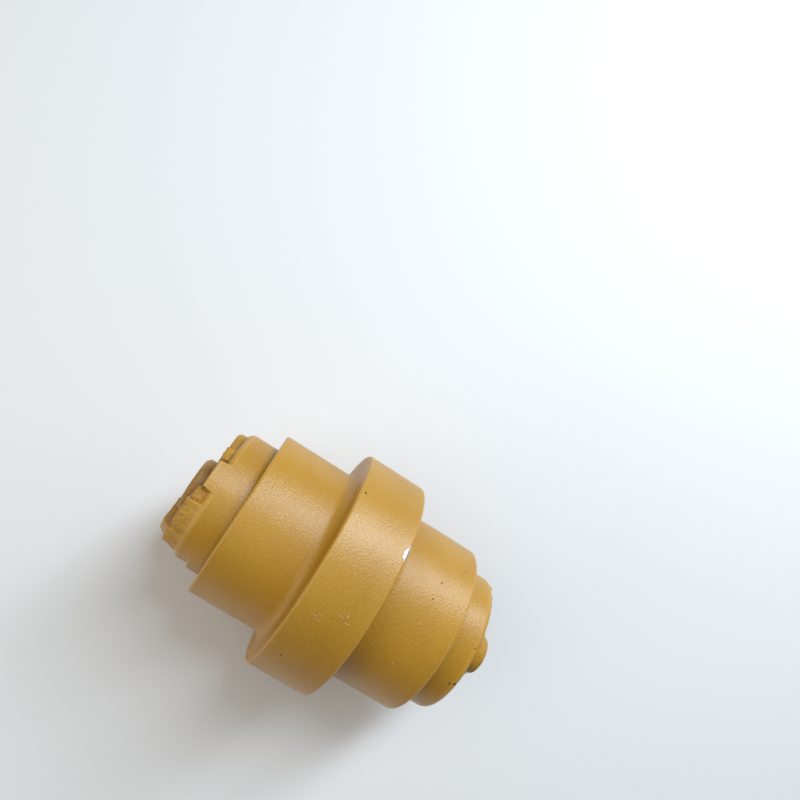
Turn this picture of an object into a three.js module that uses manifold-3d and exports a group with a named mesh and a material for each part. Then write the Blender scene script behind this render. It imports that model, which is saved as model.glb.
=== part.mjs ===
// Centre-flange track roller of a compact excavator.
// Millimetres. The origin is the roller's centre. +Y runs along the shaft and +Z points up.
// The right end is +Y. The left end mirrors it, but for the cast relief on its collar. Each end collar turns about the shaft alone.
// Radii are stacked outwards from the shaft, and lengths inwards and outwards from the shell's end faces.
import * as THREE from "three";
import { mergeVertices } from "three/addons/utils/BufferGeometryUtils.js";
import Module from "manifold-3d";

// Fits
const FIT_GAP = 0.3; // between two pieces that touch or run on each other
const END_FLOAT = 0.4; // between a collar's thrust face and its bush
const LABYRINTH_GAP = 1.2; // round and behind a collar's skirt

// Shaft
const SHAFT_R = 23.0;
const SHOULDER_STEP = 2.6; // the spigot's radius is this much less
const SPIGOT_PROUD = 15.0; // beyond the collar's end face
const SPIGOT_EDGE = 2.2;
const RING_GROOVE_DEPTH = 1.7;
const CORD_GROOVE_DEPTH = 2.9;
const CORD_WIDTH = 3.6;
const OIL_BORE_R = 4.0;
const OIL_CROSS_R = 3.0;
const PLUG_BORE_R = 7.0;
const PLUG_BORE_DEPTH = 17.0;
const CENTRE_DRILL_R = 4.0;
const CENTRE_DRILL_DEPTH = 6.0;

// Flanged bushes
const BUSH_WALL = 3.7;
const BUSH_FLANGE_WIDTH = 6.2;
const BUSH_FLANGE_THICK = 3.7;
const BUSH_LENGTH = 47.7;

// Face seals: a metal ring and a rubber ring on each side of the running face
const SEAL_DEPTH = 9.2; // from the shell's end face in to the running face
const SEAL_HUB_GAP = 1.6;
const SEAL_WALL = 3.4;
const SEAL_RIM_LAP = 1.6; // the rim stands this far beyond the rubber ring
const SEAL_RIM_THICK = 2.6;
const SEAL_HALF_WIDTH = 8.6;
const RUBBER_RADIUS = 2.6;
const RUBBER_OFFSET = 6.5; // from the running face to the rubber ring's middle
const SEAT_SLOPE = 0.35;
const SKIRT_WALL = 5.6;

// Rolling shell
const SHELL_HALF_LENGTH = 81.2;
const SHELL_END_WALL = 10.8;
const TREAD_EDGE = 1.8;
const FLANGE_HEIGHT = 19.9;
const FLANGE_HALF_WIDTH = 22.9;
const FLANGE_EDGE = 1.6;
const FLANGE_ROOT = 7.0;
const OIL_POCKET = 3.7; // the chamber between the bushes is this much wider than their bore

// End collars
const COLLAR_OUTSIDE = 23.1; // from the shell's end face out to the collar's end face
const COLLAR_EDGE = 4.4;
const COLLAR_WEB = 12.0; // held between the shaft's shoulder and the retaining ring
const COLLAR_RECESS_DEPTH = 4.3;
const COLLAR_RECESS_GAP = 3.3; // round the spigot
const HUB_WALL = 9.3;
const CAVITY_DEPTH = 12.0; // from the running face to the collar's cavity floor
const SEAT_FLAT_DEPTH = 4.0;
const SEAT_FLAT_WIDTH = 13.3;
const BOSS_R = 13.5;
const BOSS_FROM_RIM = 16.1;
const BOSS_PROUD = 7.5;
const BOSS_EDGE = 2.0;
const BOLT_CORE_R = 7.0;
const BOLT_MOUTH_R = 8.8;
const BOLT_DEPTH = 24.0;
const RIB_THICK = 5.0;
const RIB_PROUD = 6.6;
const TOOTH_THICK = 12.0;
const TOOTH_PROUD = 20.3;
const FLANK_PROUD = 5.0;
const STEP_PROUD = 11.0;
const ROUGH_WALL_PROUD = 9.2;

// The tooth and its step, in degrees from the tooth's middle
const TOOTH_HALF = 13;
const FLANK_FOOT = 30;
const STEP_FOOT = 31;

// Each collar's relief, in degrees from its bolt boss. A wall is set in from the rim, and spans two angles.
const RIB_SPAN = [-90, 180];
const RIGHT_RELIEF = {
  toothMiddle: -132,
  walls: [
    { setIn: 8.2, span: [-102, -82], proud: ROUGH_WALL_PROUD },
    { setIn: 12.6, span: [97, 106], proud: 7.7 },
    { setIn: 2.1, span: [104, 158], proud: 12.0 },
  ],
};
const LEFT_RELIEF = {
  toothMiddle: -117,
  walls: [
    { setIn: 4.4, span: [-87, -58], proud: ROUGH_WALL_PROUD },
    { setIn: 4.4, span: [56, 70], proud: 6.5 },
    { setIn: 0, span: [75, 99], proud: 5.2 },
    { setIn: 4.4, span: [98, 112], proud: 7.4 },
    { setIn: 1.5, span: [111, 158], proud: ROUGH_WALL_PROUD },
  ],
};

// Retaining rings, plug
const RETAINER_THICK = 1.75;
const RETAINER_RADIAL = 3.4;
const RETAINER_OPENING = 46; // degrees
const PLUG_LENGTH = 9.0;
const PLUG_SUNK = 4.0;
const PLUG_HEX_ACROSS = 8.0;
const PLUG_HEX_DEPTH = 4.0;
const PLUG_CORD_WIDTH = 2.0;

// How far each end collar is turned about the shaft: 0 puts its bolt boss straight up
const RIGHT_COLLAR_TURN = 0;
const LEFT_COLLAR_TURN = -100;

// Facets round the axis
const ROUND = 48;
const FINE_ROUND = 24;
const HOLE_ROUND = 16;

// Stacked radii
const SPIGOT_R = SHAFT_R - SHOULDER_STEP;
const COLLAR_RECESS_R = SPIGOT_R + COLLAR_RECESS_GAP;
const BUSH_R = SHAFT_R + FIT_GAP + BUSH_WALL;
const BUSH_FLANGE_R = BUSH_R + BUSH_FLANGE_WIDTH;
const OIL_CHAMBER_R = BUSH_R + FIT_GAP + OIL_POCKET;
const HUB_R = SHAFT_R + FIT_GAP + HUB_WALL;
const SEAL_BORE_R = HUB_R + SEAL_HUB_GAP;
const RUBBER_AT_R = SEAL_BORE_R + SEAL_WALL + FIT_GAP + RUBBER_RADIUS;
const SEAL_RIM_R = SEAL_BORE_R + SEAL_WALL + 2 * RUBBER_RADIUS + SEAL_RIM_LAP;
const SEAT_MOUTH_R = SEAL_RIM_R + 2 * FIT_GAP;
const COLLAR_R = SEAT_MOUTH_R + SKIRT_WALL;
const SKIRT_BORE_R = COLLAR_R + LABYRINTH_GAP;
const TREAD_R = SKIRT_BORE_R + SHELL_END_WALL;
const FLANGE_R = TREAD_R + FLANGE_HEIGHT;
const BOSS_AT_R = COLLAR_R - BOSS_FROM_RIM;
const RETAINER_BORE_R = SPIGOT_R - RING_GROOVE_DEPTH + FIT_GAP;

// Stacked lengths
const SEAL_FACE_Y = SHELL_HALF_LENGTH - SEAL_DEPTH;
const HUB_FACE_Y = SEAL_FACE_Y - SEAL_HALF_WIDTH;
const BUSH_FACE_Y = HUB_FACE_Y - END_FLOAT;
const BUSH_SEAT_Y = BUSH_FACE_Y - BUSH_FLANGE_THICK;
const BUSH_END_Y = BUSH_FACE_Y - BUSH_LENGTH;
const OIL_CHAMBER_END_Y = BUSH_END_Y - 2 * FIT_GAP;
const SHELL_FLOOR_Y = BUSH_SEAT_Y - FIT_GAP;
const CAVITY_FLOOR_Y = SEAL_FACE_Y + CAVITY_DEPTH;
const SKIRT_END_Y = SEAL_FACE_Y + SEAL_RIM_THICK;
const COLLAR_FACE_Y = SHELL_HALF_LENGTH + COLLAR_OUTSIDE;
const SPIGOT_END_Y = COLLAR_FACE_Y + SPIGOT_PROUD;
const RECESS_FLOOR_Y = COLLAR_FACE_Y - COLLAR_RECESS_DEPTH;
const SHOULDER_Y = RECESS_FLOOR_Y - COLLAR_WEB - FIT_GAP;
const RETAINER_Y = RECESS_FLOOR_Y + FIT_GAP;
const CORD_Y = (HUB_FACE_Y + SHOULDER_Y) / 2;
const WALL_FOOT_Y = COLLAR_FACE_Y - COLLAR_EDGE - 1;

const wasm = await Module();
wasm.setup();

// The radius of a seal's conical seat at a distance from the running face.
function seatRadius(distance) {
  return SEAT_MOUTH_R - SEAT_SLOPE * (distance - SEAL_RIM_THICK);
}

// A closed solid of a geometry.
function solidOf(geometry) {
  const bare = geometry.clone();
  bare.deleteAttribute("normal");
  bare.deleteAttribute("uv");
  const merged = mergeVertices(bare, 1e-4);
  return new wasm.Manifold(
    new wasm.Mesh({
      numProp: 3,
      vertProperties: new Float32Array(merged.attributes.position.array),
      triVerts: new Uint32Array(merged.index.array),
    }),
  );
}

// The geometry of a closed solid.
function geometryOf(solid) {
  const { vertProperties, triVerts } = solid.getMesh();
  const geometry = new THREE.BufferGeometry();
  geometry.setAttribute("position", new THREE.BufferAttribute(vertProperties, 3));
  geometry.setIndex(new THREE.BufferAttribute(triVerts, 1));
  geometry.computeVertexNormals();
  return geometry;
}

// Twice the signed area of a closed outline of [radius, y] points.
function outlineArea(points) {
  return points.reduce((sum, [r, y], i) => {
    const [nextR, nextY] = points[(i + 1) % points.length];
    return sum + r * nextY - nextR * y;
  }, 0);
}

// A ring or disc turned about Y from an outline of [radius, y] points.
function turned(points, facets) {
  const outward = outlineArea(points) > 0 ? points : [...points].reverse();
  const before = (i) => outward[(i + outward.length - 1) % outward.length];
  const onAxis = outward.findIndex(([r], i) => r === 0 && before(i)[0] === 0);
  const start = Math.max(0, onAxis);
  const ordered = [...outward.slice(start), ...outward.slice(0, start)];
  if (onAxis < 0) ordered.push(ordered[0]);
  return new THREE.LatheGeometry(ordered.map(([r, y]) => new THREE.Vector2(r, y)), facets);
}

// The outline of a half, from its inner to its outer y, with its mirror image added below.
function bothEnds(half) {
  return [...half.map(([r, y]) => [r, -y]).reverse(), ...half];
}

// A point at a radius and an angle in degrees about Y, where 0 is +Z and 90 is +X.
function around(radius, degrees) {
  const angle = THREE.MathUtils.degToRad(degrees);
  return [radius * Math.sin(angle), radius * Math.cos(angle)];
}

// A prism along Y from an outline of [x, z] points.
function prism(outline, fromY, toY) {
  const shape = new THREE.Shape(outline.map(([x, z]) => new THREE.Vector2(x, -z)));
  return new THREE.ExtrudeGeometry(shape, { depth: toY - fromY, bevelEnabled: false })
    .rotateX(-Math.PI / 2)
    .translate(0, fromY, 0);
}

// Part of a ring's wall: between two radii, two angles and two heights.
function sector(innerR, outerR, fromDeg, toDeg, fromY, toY) {
  const steps = Math.max(1, Math.round((toDeg - fromDeg) / (360 / ROUND)));
  const angles = Array.from({ length: steps + 1 }, (_, i) => fromDeg + ((toDeg - fromDeg) * i) / steps);
  const outer = angles.map((angle) => around(outerR, angle));
  const inner = angles.map((angle) => around(innerR, angle)).reverse();
  return prism([...outer, ...inner], fromY, toY);
}

// A round bar along Y at a place, with an optional chamfer at its far end.
function bar(radius, [x, z], fromY, toY, chamfer = 0) {
  const outline = [[0, fromY], [radius, fromY], [radius, toY - chamfer], [radius - chamfer, toY], [0, toY]];
  const points = chamfer ? outline : outline.filter((_, i) => i !== 3);
  return turned(points, chamfer ? 24 : HOLE_ROUND).translate(x, 0, z);
}

// The rolling shell: flange, two treads, bush bores and a seal cavity in each end.
function rollerShell() {
  const root = FLANGE_ROOT;
  const half = [
    [FLANGE_R, FLANGE_HALF_WIDTH - FLANGE_EDGE],
    [FLANGE_R - FLANGE_EDGE, FLANGE_HALF_WIDTH],
    [TREAD_R + root, FLANGE_HALF_WIDTH],
    [TREAD_R + 0.293 * root, FLANGE_HALF_WIDTH + 0.293 * root],
    [TREAD_R, FLANGE_HALF_WIDTH + root],
    [TREAD_R, SHELL_HALF_LENGTH - TREAD_EDGE],
    [TREAD_R - TREAD_EDGE, SHELL_HALF_LENGTH],
    [SKIRT_BORE_R, SHELL_HALF_LENGTH],
    [SKIRT_BORE_R, SKIRT_END_Y - LABYRINTH_GAP],
    [SEAT_MOUTH_R, SKIRT_END_Y - LABYRINTH_GAP],
    [SEAT_MOUTH_R, SEAL_FACE_Y - SEAL_RIM_THICK],
    [seatRadius(SEAL_FACE_Y - SHELL_FLOOR_Y), SHELL_FLOOR_Y],
    [BUSH_R + FIT_GAP, SHELL_FLOOR_Y],
    [BUSH_R + FIT_GAP, OIL_CHAMBER_END_Y],
    [OIL_CHAMBER_R, OIL_CHAMBER_END_Y],
  ];
  return turned(bothEnds(half), ROUND);
}

// A flanged bush at the right end.
function bush() {
  return turned(
    [
      [SHAFT_R + FIT_GAP, BUSH_END_Y],
      [BUSH_R, BUSH_END_Y],
      [BUSH_R, BUSH_SEAT_Y],
      [BUSH_FLANGE_R, BUSH_SEAT_Y],
      [BUSH_FLANGE_R, BUSH_FACE_Y],
      [SHAFT_R + FIT_GAP, BUSH_FACE_Y],
    ],
    FINE_ROUND,
  );
}

// The shaft: two spigots, ring and cord grooves, and the oil way from the left end.
function shaft() {
  const cordHalf = CORD_WIDTH / 2 + FIT_GAP;
  const grooveR = SPIGOT_R - RING_GROOVE_DEPTH;
  const half = [
    [SHAFT_R, CORD_Y - cordHalf],
    [SHAFT_R - CORD_GROOVE_DEPTH, CORD_Y - cordHalf],
    [SHAFT_R - CORD_GROOVE_DEPTH, CORD_Y + cordHalf],
    [SHAFT_R, CORD_Y + cordHalf],
    [SHAFT_R, SHOULDER_Y],
    [SPIGOT_R, SHOULDER_Y],
    [SPIGOT_R, RETAINER_Y - FIT_GAP],
    [grooveR, RETAINER_Y - FIT_GAP],
    [grooveR, RETAINER_Y + RETAINER_THICK + FIT_GAP],
    [SPIGOT_R, RETAINER_Y + RETAINER_THICK + FIT_GAP],
    [SPIGOT_R, SPIGOT_END_Y - SPIGOT_EDGE],
    [SPIGOT_R - SPIGOT_EDGE, SPIGOT_END_Y],
    [0, SPIGOT_END_Y],
  ];
  const plugFloorY = PLUG_BORE_DEPTH - SPIGOT_END_Y;
  const oilBore = bar(OIL_BORE_R, [0, 0], plugFloorY - 1, 2 * OIL_CROSS_R);
  const plugBore = bar(PLUG_BORE_R, [0, 0], -SPIGOT_END_Y - 1, plugFloorY);
  const oilCross = bar(OIL_CROSS_R, [0, 0], -SHAFT_R - 1, SHAFT_R + 1).rotateX(Math.PI / 2);
  const drillTipY = SPIGOT_END_Y - CENTRE_DRILL_DEPTH;
  const centreDrill = turned(
    [
      [0, drillTipY],
      [CENTRE_DRILL_R, SPIGOT_END_Y - 1],
      [CENTRE_DRILL_R, SPIGOT_END_Y + 1],
      [0, SPIGOT_END_Y + 1],
    ],
    HOLE_ROUND,
  );
  return geometryOf(
    [oilBore, plugBore, oilCross, centreDrill].reduce(
      (body, cut) => body.subtract(solidOf(cut)),
      solidOf(turned(bothEnds(half), FINE_ROUND)),
    ),
  );
}

// One metal seal ring. side is 1 for the still ring, outside the running face, and -1 for the turning one.
function sealRing(side) {
  const at = (distance) => SEAL_FACE_Y + side * distance;
  return turned(
    [
      [SEAL_BORE_R, at(FIT_GAP / 2)],
      [SEAL_RIM_R, at(FIT_GAP / 2)],
      [SEAL_RIM_R, at(SEAL_RIM_THICK)],
      [SEAL_BORE_R + SEAL_WALL, at(SEAL_RIM_THICK + 0.6)],
      [SEAL_BORE_R + SEAL_WALL, at(SEAL_HALF_WIDTH)],
      [SEAL_BORE_R, at(SEAL_HALF_WIDTH)],
    ],
    FINE_ROUND,
  );
}

// One rubber ring, between a metal seal ring and its conical seat.
function rubberRing(side) {
  const points = Array.from({ length: 6 }, (_, i) => {
    const angle = (Math.PI / 3) * i;
    return [
      RUBBER_AT_R + RUBBER_RADIUS * Math.cos(angle),
      SEAL_FACE_Y + side * (RUBBER_OFFSET + RUBBER_RADIUS * Math.sin(angle)),
    ];
  });
  return turned(points, FINE_ROUND);
}

// The turned body of an end collar, with the hub inside its seal cavity.
function collarBody() {
  return turned(
    [
      [SHAFT_R + FIT_GAP, HUB_FACE_Y],
      [HUB_R, HUB_FACE_Y],
      [HUB_R, CAVITY_FLOOR_Y],
      [seatRadius(CAVITY_DEPTH), CAVITY_FLOOR_Y],
      [SEAT_MOUTH_R, SKIRT_END_Y],
      [COLLAR_R, SKIRT_END_Y],
      [COLLAR_R, COLLAR_FACE_Y - COLLAR_EDGE],
      [COLLAR_R - 0.293 * COLLAR_EDGE, COLLAR_FACE_Y - 0.293 * COLLAR_EDGE],
      [COLLAR_R - COLLAR_EDGE, COLLAR_FACE_Y],
      [COLLAR_RECESS_R - 2, COLLAR_FACE_Y],
      [COLLAR_RECESS_R - 2, RECESS_FLOOR_Y],
      [SPIGOT_R + FIT_GAP, RECESS_FLOOR_Y],
      [SPIGOT_R + FIT_GAP, SHOULDER_Y + FIT_GAP],
      [SHAFT_R + FIT_GAP, SHOULDER_Y + FIT_GAP],
    ],
    ROUND,
  );
}

// A full ring that stands on the collar's end, to be cut to the walls' lengths.
function rimRing(innerR, outerR, proud) {
  const topY = COLLAR_FACE_Y + proud;
  return solidOf(
    turned([[innerR, WALL_FOOT_Y], [outerR, WALL_FOOT_Y], [outerR, topY], [innerR, topY]], ROUND),
  );
}

// A wall that follows the rim between two angles, up to an outer radius and a height.
function rimWall(outerR, [fromDeg, toDeg], proud) {
  const innerR = COLLAR_RECESS_R + RIB_THICK - 1;
  const wedge = sector(innerR - 3, COLLAR_R + 5, fromDeg, toDeg, WALL_FOOT_Y - 1, COLLAR_FACE_Y + proud + 1);
  return rimRing(innerR, outerR, proud).intersect(solidOf(wedge));
}

// The raised tooth and step that follow the collar's rim, with the tooth's outer flank sloping down.
function toothWall(toothMiddle) {
  const along = (degrees) => COLLAR_R * Math.sin(THREE.MathUtils.degToRad(degrees));
  const footY = WALL_FOOT_Y - 1;
  const topY = COLLAR_FACE_Y + TOOTH_PROUD + 1;
  const side = [
    [along(-FLANK_FOOT), footY],
    [along(-FLANK_FOOT), COLLAR_FACE_Y + FLANK_PROUD],
    [along(-TOOTH_HALF), topY],
    [along(TOOTH_HALF), topY],
    [along(TOOTH_HALF), COLLAR_FACE_Y + STEP_PROUD],
    [along(STEP_FOOT), COLLAR_FACE_Y + STEP_PROUD],
    [along(STEP_FOOT), footY],
  ];
  const shape = new THREE.Shape(side.map(([t, y]) => new THREE.Vector2(t, y)));
  const slab = new THREE.ExtrudeGeometry(shape, { depth: COLLAR_R, bevelEnabled: false });
  slab.translate(0, 0, COLLAR_R / 4).rotateY(THREE.MathUtils.degToRad(toothMiddle));
  return rimRing(COLLAR_R - TOOTH_THICK, COLLAR_R, TOOTH_PROUD).intersect(solidOf(slab));
}

// The bolt boss, the rib round the shaft and the walls beside the rim.
function collarRelief(walls) {
  const top = (proud) => COLLAR_FACE_Y + proud;
  const ribR = COLLAR_RECESS_R + RIB_THICK;
  const rib = sector(COLLAR_RECESS_R - 1, ribR, ...RIB_SPAN, WALL_FOOT_Y, top(RIB_PROUD));
  return [
    solidOf(bar(BOSS_R, around(BOSS_AT_R, 0), WALL_FOOT_Y, top(BOSS_PROUD), BOSS_EDGE)),
    solidOf(rib),
    ...walls.map(({ setIn, span, proud }) => rimWall(COLLAR_R - setIn, span, proud)),
  ];
}

// Everything cut from the collar: the recess round the shaft end, the tapped hole and the seat flat.
function collarCuts() {
  const [x, z] = around(BOSS_AT_R, 0);
  const bossTopY = COLLAR_FACE_Y + BOSS_PROUD;
  const mouthDepth = BOLT_MOUTH_R - BOLT_CORE_R;
  const hole = turned(
    [
      [0, bossTopY - BOLT_DEPTH],
      [BOLT_CORE_R, bossTopY - BOLT_DEPTH],
      [BOLT_CORE_R, bossTopY - mouthDepth],
      [BOLT_MOUTH_R + 1, bossTopY + 1],
      [0, bossTopY + 1],
    ],
    HOLE_ROUND,
  ).translate(x, 0, z);
  const recess = turned(
    [
      [0, RECESS_FLOOR_Y],
      [COLLAR_RECESS_R, RECESS_FLOOR_Y],
      [COLLAR_RECESS_R, COLLAR_FACE_Y + TOOTH_PROUD + 1],
      [0, COLLAR_FACE_Y + TOOTH_PROUD + 1],
    ],
    ROUND,
  );
  const flatFromY = COLLAR_FACE_Y - SEAT_FLAT_WIDTH;
  const flat = new THREE.BoxGeometry(2 * COLLAR_R, 3 * SEAT_FLAT_WIDTH, 2 * SEAT_FLAT_DEPTH);
  flat.translate(0, flatFromY + 1.5 * SEAT_FLAT_WIDTH, -COLLAR_R);
  return [hole, recess, flat].map(solidOf);
}

// A right end collar with its boss straight up.
function endCollar({ toothMiddle, walls }) {
  const relief = [toothWall(toothMiddle), ...collarRelief(walls)];
  const built = relief.reduce((body, piece) => body.add(piece), solidOf(collarBody()));
  return geometryOf(collarCuts().reduce((body, cut) => body.subtract(cut), built));
}

// The rubber cord ring that seals the shaft in a collar's hub.
function shaftCord() {
  const innerR = SHAFT_R - CORD_GROOVE_DEPTH + FIT_GAP;
  const half = CORD_WIDTH / 2;
  return turned(
    [[innerR, CORD_Y - half], [SHAFT_R, CORD_Y - half], [SHAFT_R, CORD_Y + half], [innerR, CORD_Y + half]],
    FINE_ROUND,
  );
}

// The open spring ring that holds a collar on its spigot.
function retainingRing() {
  const opening = RETAINER_OPENING / 2;
  const outerR = RETAINER_BORE_R + RETAINER_RADIAL;
  const outerFaceY = RETAINER_Y + RETAINER_THICK;
  return sector(RETAINER_BORE_R, outerR, opening - 180, 180 - opening, RETAINER_Y, outerFaceY);
}

// The oil plug in the left spigot, with a hexagon socket.
function oilPlug() {
  const headY = PLUG_SUNK - SPIGOT_END_Y;
  const cordR = PLUG_BORE_R - FIT_GAP - PLUG_CORD_WIDTH;
  const grooveY = headY + PLUG_LENGTH - 2 * PLUG_CORD_WIDTH;
  const body = turned(
    [
      [0, headY],
      [PLUG_BORE_R - FIT_GAP, headY],
      [PLUG_BORE_R - FIT_GAP, grooveY - FIT_GAP],
      [cordR - FIT_GAP, grooveY - FIT_GAP],
      [cordR - FIT_GAP, grooveY + PLUG_CORD_WIDTH + FIT_GAP],
      [PLUG_BORE_R - FIT_GAP, grooveY + PLUG_CORD_WIDTH + FIT_GAP],
      [PLUG_BORE_R - FIT_GAP, headY + PLUG_LENGTH],
      [0, headY + PLUG_LENGTH],
    ],
    24,
  );
  const corners = [0, 60, 120, 180, 240, 300].map((angle) => around(PLUG_HEX_ACROSS / Math.sqrt(3), angle));
  const socket = prism(corners, headY - 1, headY + PLUG_HEX_DEPTH);
  return geometryOf(solidOf(body).subtract(solidOf(socket)));
}

// The rubber ring in the oil plug's groove.
function oilPlugCord() {
  const outerR = PLUG_BORE_R - FIT_GAP;
  const fromY = PLUG_SUNK - SPIGOT_END_Y + PLUG_LENGTH - 2 * PLUG_CORD_WIDTH;
  const toY = fromY + PLUG_CORD_WIDTH;
  return turned(
    [[outerR - PLUG_CORD_WIDTH, fromY], [outerR, fromY], [outerR, toY], [outerR - PLUG_CORD_WIDTH, toY]],
    24,
  );
}

// A maker of one kind of material, so that each mesh has its own.
function finish(color, roughness, metalness) {
  return () => new THREE.MeshStandardMaterial({ color, roughness, metalness });
}

const paint = finish(0xb88a2e, 0.42, 0);
const bareSteel = finish(0x8f9296, 0.35, 1);
const springSteel = finish(0x2e2b28, 0.45, 0.9);
const bronze = finish(0xa87444, 0.4, 1);
const rubber = finish(0x161616, 0.8, 0);

const trackRoller = new THREE.Group();
const rightEnd = new THREE.Group();
const leftEnd = new THREE.Group();
const rightCollar = new THREE.Group();
const leftCollar = new THREE.Group();
leftEnd.scale.y = -1;
rightCollar.rotation.y = THREE.MathUtils.degToRad(RIGHT_COLLAR_TURN);
leftCollar.rotation.y = THREE.MathUtils.degToRad(LEFT_COLLAR_TURN);
rightEnd.add(rightCollar);
leftEnd.add(leftCollar);
trackRoller.add(rightEnd, leftEnd);

// Adds a named mesh to a group.
function addTo(group, name, geometry, material) {
  const mesh = new THREE.Mesh(geometry, material);
  mesh.name = name;
  group.add(mesh);
}

addTo(trackRoller, "roller_shell", rollerShell(), paint());
addTo(trackRoller, "shaft", shaft(), paint());
addTo(trackRoller, "oil_plug", oilPlug(), springSteel());
addTo(trackRoller, "oil_plug_cord", oilPlugCord(), rubber());
for (const [end, collar, side, relief] of [
  [rightEnd, rightCollar, "right", RIGHT_RELIEF],
  [leftEnd, leftCollar, "left", LEFT_RELIEF],
]) {
  addTo(end, `bush_${side}`, bush(), bronze());
  addTo(end, `seal_ring_turning_${side}`, sealRing(-1), bareSteel());
  addTo(end, `seal_rubber_turning_${side}`, rubberRing(-1), rubber());
  addTo(end, `shaft_cord_${side}`, shaftCord(), rubber());
  addTo(end, `retaining_ring_${side}`, retainingRing(), springSteel());
  addTo(collar, `end_collar_${side}`, endCollar(relief), paint());
  addTo(collar, `seal_ring_still_${side}`, sealRing(1), bareSteel());
  addTo(collar, `seal_rubber_still_${side}`, rubberRing(1), rubber());
}

export default trackRoller;
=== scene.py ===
"""Looks of a centre-flange track roller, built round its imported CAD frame.

Metres in the scene, millimetres in the classes. +Y runs along the shaft and +Z points up.
Angles about the shaft run from +Z towards +X.
"""

import logging
from collections.abc import Callable, Sequence
from dataclasses import dataclass
from enum import Enum
from functools import lru_cache
from typing import Any

import bpy
import numpy as np
from mathutils import Matrix, Quaternion, Vector

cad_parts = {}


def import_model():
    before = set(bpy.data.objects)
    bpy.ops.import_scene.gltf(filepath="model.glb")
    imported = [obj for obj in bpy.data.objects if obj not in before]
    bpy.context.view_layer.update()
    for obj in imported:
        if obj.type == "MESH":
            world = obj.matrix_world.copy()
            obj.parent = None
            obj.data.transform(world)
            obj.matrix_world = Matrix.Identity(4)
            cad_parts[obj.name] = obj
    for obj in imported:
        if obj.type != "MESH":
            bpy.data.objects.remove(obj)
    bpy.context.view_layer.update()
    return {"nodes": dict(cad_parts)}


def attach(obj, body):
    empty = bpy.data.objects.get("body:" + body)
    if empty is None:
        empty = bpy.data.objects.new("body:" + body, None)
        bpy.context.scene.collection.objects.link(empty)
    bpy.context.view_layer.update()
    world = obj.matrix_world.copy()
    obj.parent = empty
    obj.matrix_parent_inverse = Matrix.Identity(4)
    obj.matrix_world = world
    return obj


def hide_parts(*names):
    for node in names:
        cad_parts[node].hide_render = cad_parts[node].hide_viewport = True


LOG = logging.getLogger("track_roller")
MM = 0.001
ROUND_FINE = 360
ROUND_SMALL = 144
Colour = tuple[float, float, float]
Point = tuple[float, float, float]
Socket = bpy.types.NodeSocket


class End(Enum):
    """The two ends of the roller, by the sign of their Y."""

    RIGHT = 1
    LEFT = -1

    @property
    def word(self) -> str:
        """The end's name in lower case, as pieces and bodies use it."""
        return self.name.lower()


class Skin(Enum):
    """The float attributes that a mesh can carry for its finish."""

    CAST = "cast_skin"
    # Grime with painted shade in gaps and hollows.
    GAP = "gap_dirt"
    # A painted highlight along convex rims.
    RIM = "worn_rim"


# ---------------------------------------------------------------- surfaces


def unit(vectors: np.ndarray) -> np.ndarray:
    """Each row divided by its own length."""
    return vectors / np.maximum(np.linalg.norm(vectors, axis=-1, keepdims=True), 1e-12)


def distinct(points: np.ndarray, closed: bool) -> np.ndarray:
    """The points without the ones that repeat the one before them."""
    before = np.roll(points, 1, axis=0)
    kept = np.linalg.norm(points - before, axis=1) > 1e-4
    kept[0] = kept[0] or not closed
    return points[kept]


def filleted(
    corners: Sequence[Point], closed: bool = True, steps: int = 6, hold: float = 0.3
) -> np.ndarray:
    """Rounds the corners of an outline.

    Each corner's arc has its centre on the line that halves the corner, and its points are the turned
    blend (sin((1-s)a) A + sin(sa) B) / sin(a) of the arc's first and last spoke. Two more points hold
    each flat straight.

    Args:
        corners: (radius, y, fillet radius) of each corner, in order, in millimetres.
        closed: whether the last corner joins the first. An open outline's two ends stay sharp.
        steps: chords in each arc.
        hold: how far from an arc the flat's holding points stand.

    Returns:
        The outline's (radius, y) points.
    """
    table = np.array(corners, float)
    spots, fillet = table[:, :2], table[:, 2:3]
    to_before = unit(np.roll(spots, 1, axis=0) - spots)
    to_after = unit(np.roll(spots, -1, axis=0) - spots)
    half = np.arccos(np.clip((to_before * to_after).sum(1, keepdims=True), -1, 1)) / 2
    sweep = np.pi - 2 * half
    centre = spots + unit(to_before + to_after) * fillet / np.sin(half)
    reach = fillet / np.tan(half)
    first = (spots + to_before * reach - centre)[:, None]
    last = (spots + to_after * reach - centre)[:, None]
    share = np.linspace(0, 1, steps + 1)[None, :, None]
    turn = sweep[:, None]
    arcs = centre[:, None] + (
        np.sin((1 - share) * turn) * first + np.sin(share * turn) * last
    ) / np.sin(turn)
    leave, arrive = arcs[:, -1], np.roll(arcs[:, 0], -1, axis=0)
    length = np.linalg.norm(arrive - leave, axis=1, keepdims=True)
    step = unit(arrive - leave) * np.minimum(hold, length / 3)
    holds = np.stack([leave + step, arrive - step], axis=1)
    points = np.concatenate([arcs, holds], axis=1).reshape(-1, 2)
    return distinct(points if closed else points[:-2], closed)


def angles(count: int, start: float = 0.0, span: float = 360.0) -> np.ndarray:
    """Equal angles in radians that start at an angle in degrees and run once through a span."""
    return np.radians(start + span * np.arange(count) / count)


def circle(steps: int) -> np.ndarray:
    """The (cos t, sin t) points of a unit circle."""
    turn = angles(steps)[:, None]
    return np.concatenate([np.cos(turn), np.sin(turn)], axis=1)


def turned(outline: np.ndarray, theta: np.ndarray) -> np.ndarray:
    """A surface of revolution about Y: (r sin t, y, r cos t) for each outline point and each angle."""
    radius, height = outline[:, :1], outline[:, 1:2]
    return np.stack(
        [radius * np.sin(theta), height + 0 * theta, radius * np.cos(theta)], axis=-1
    )


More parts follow.
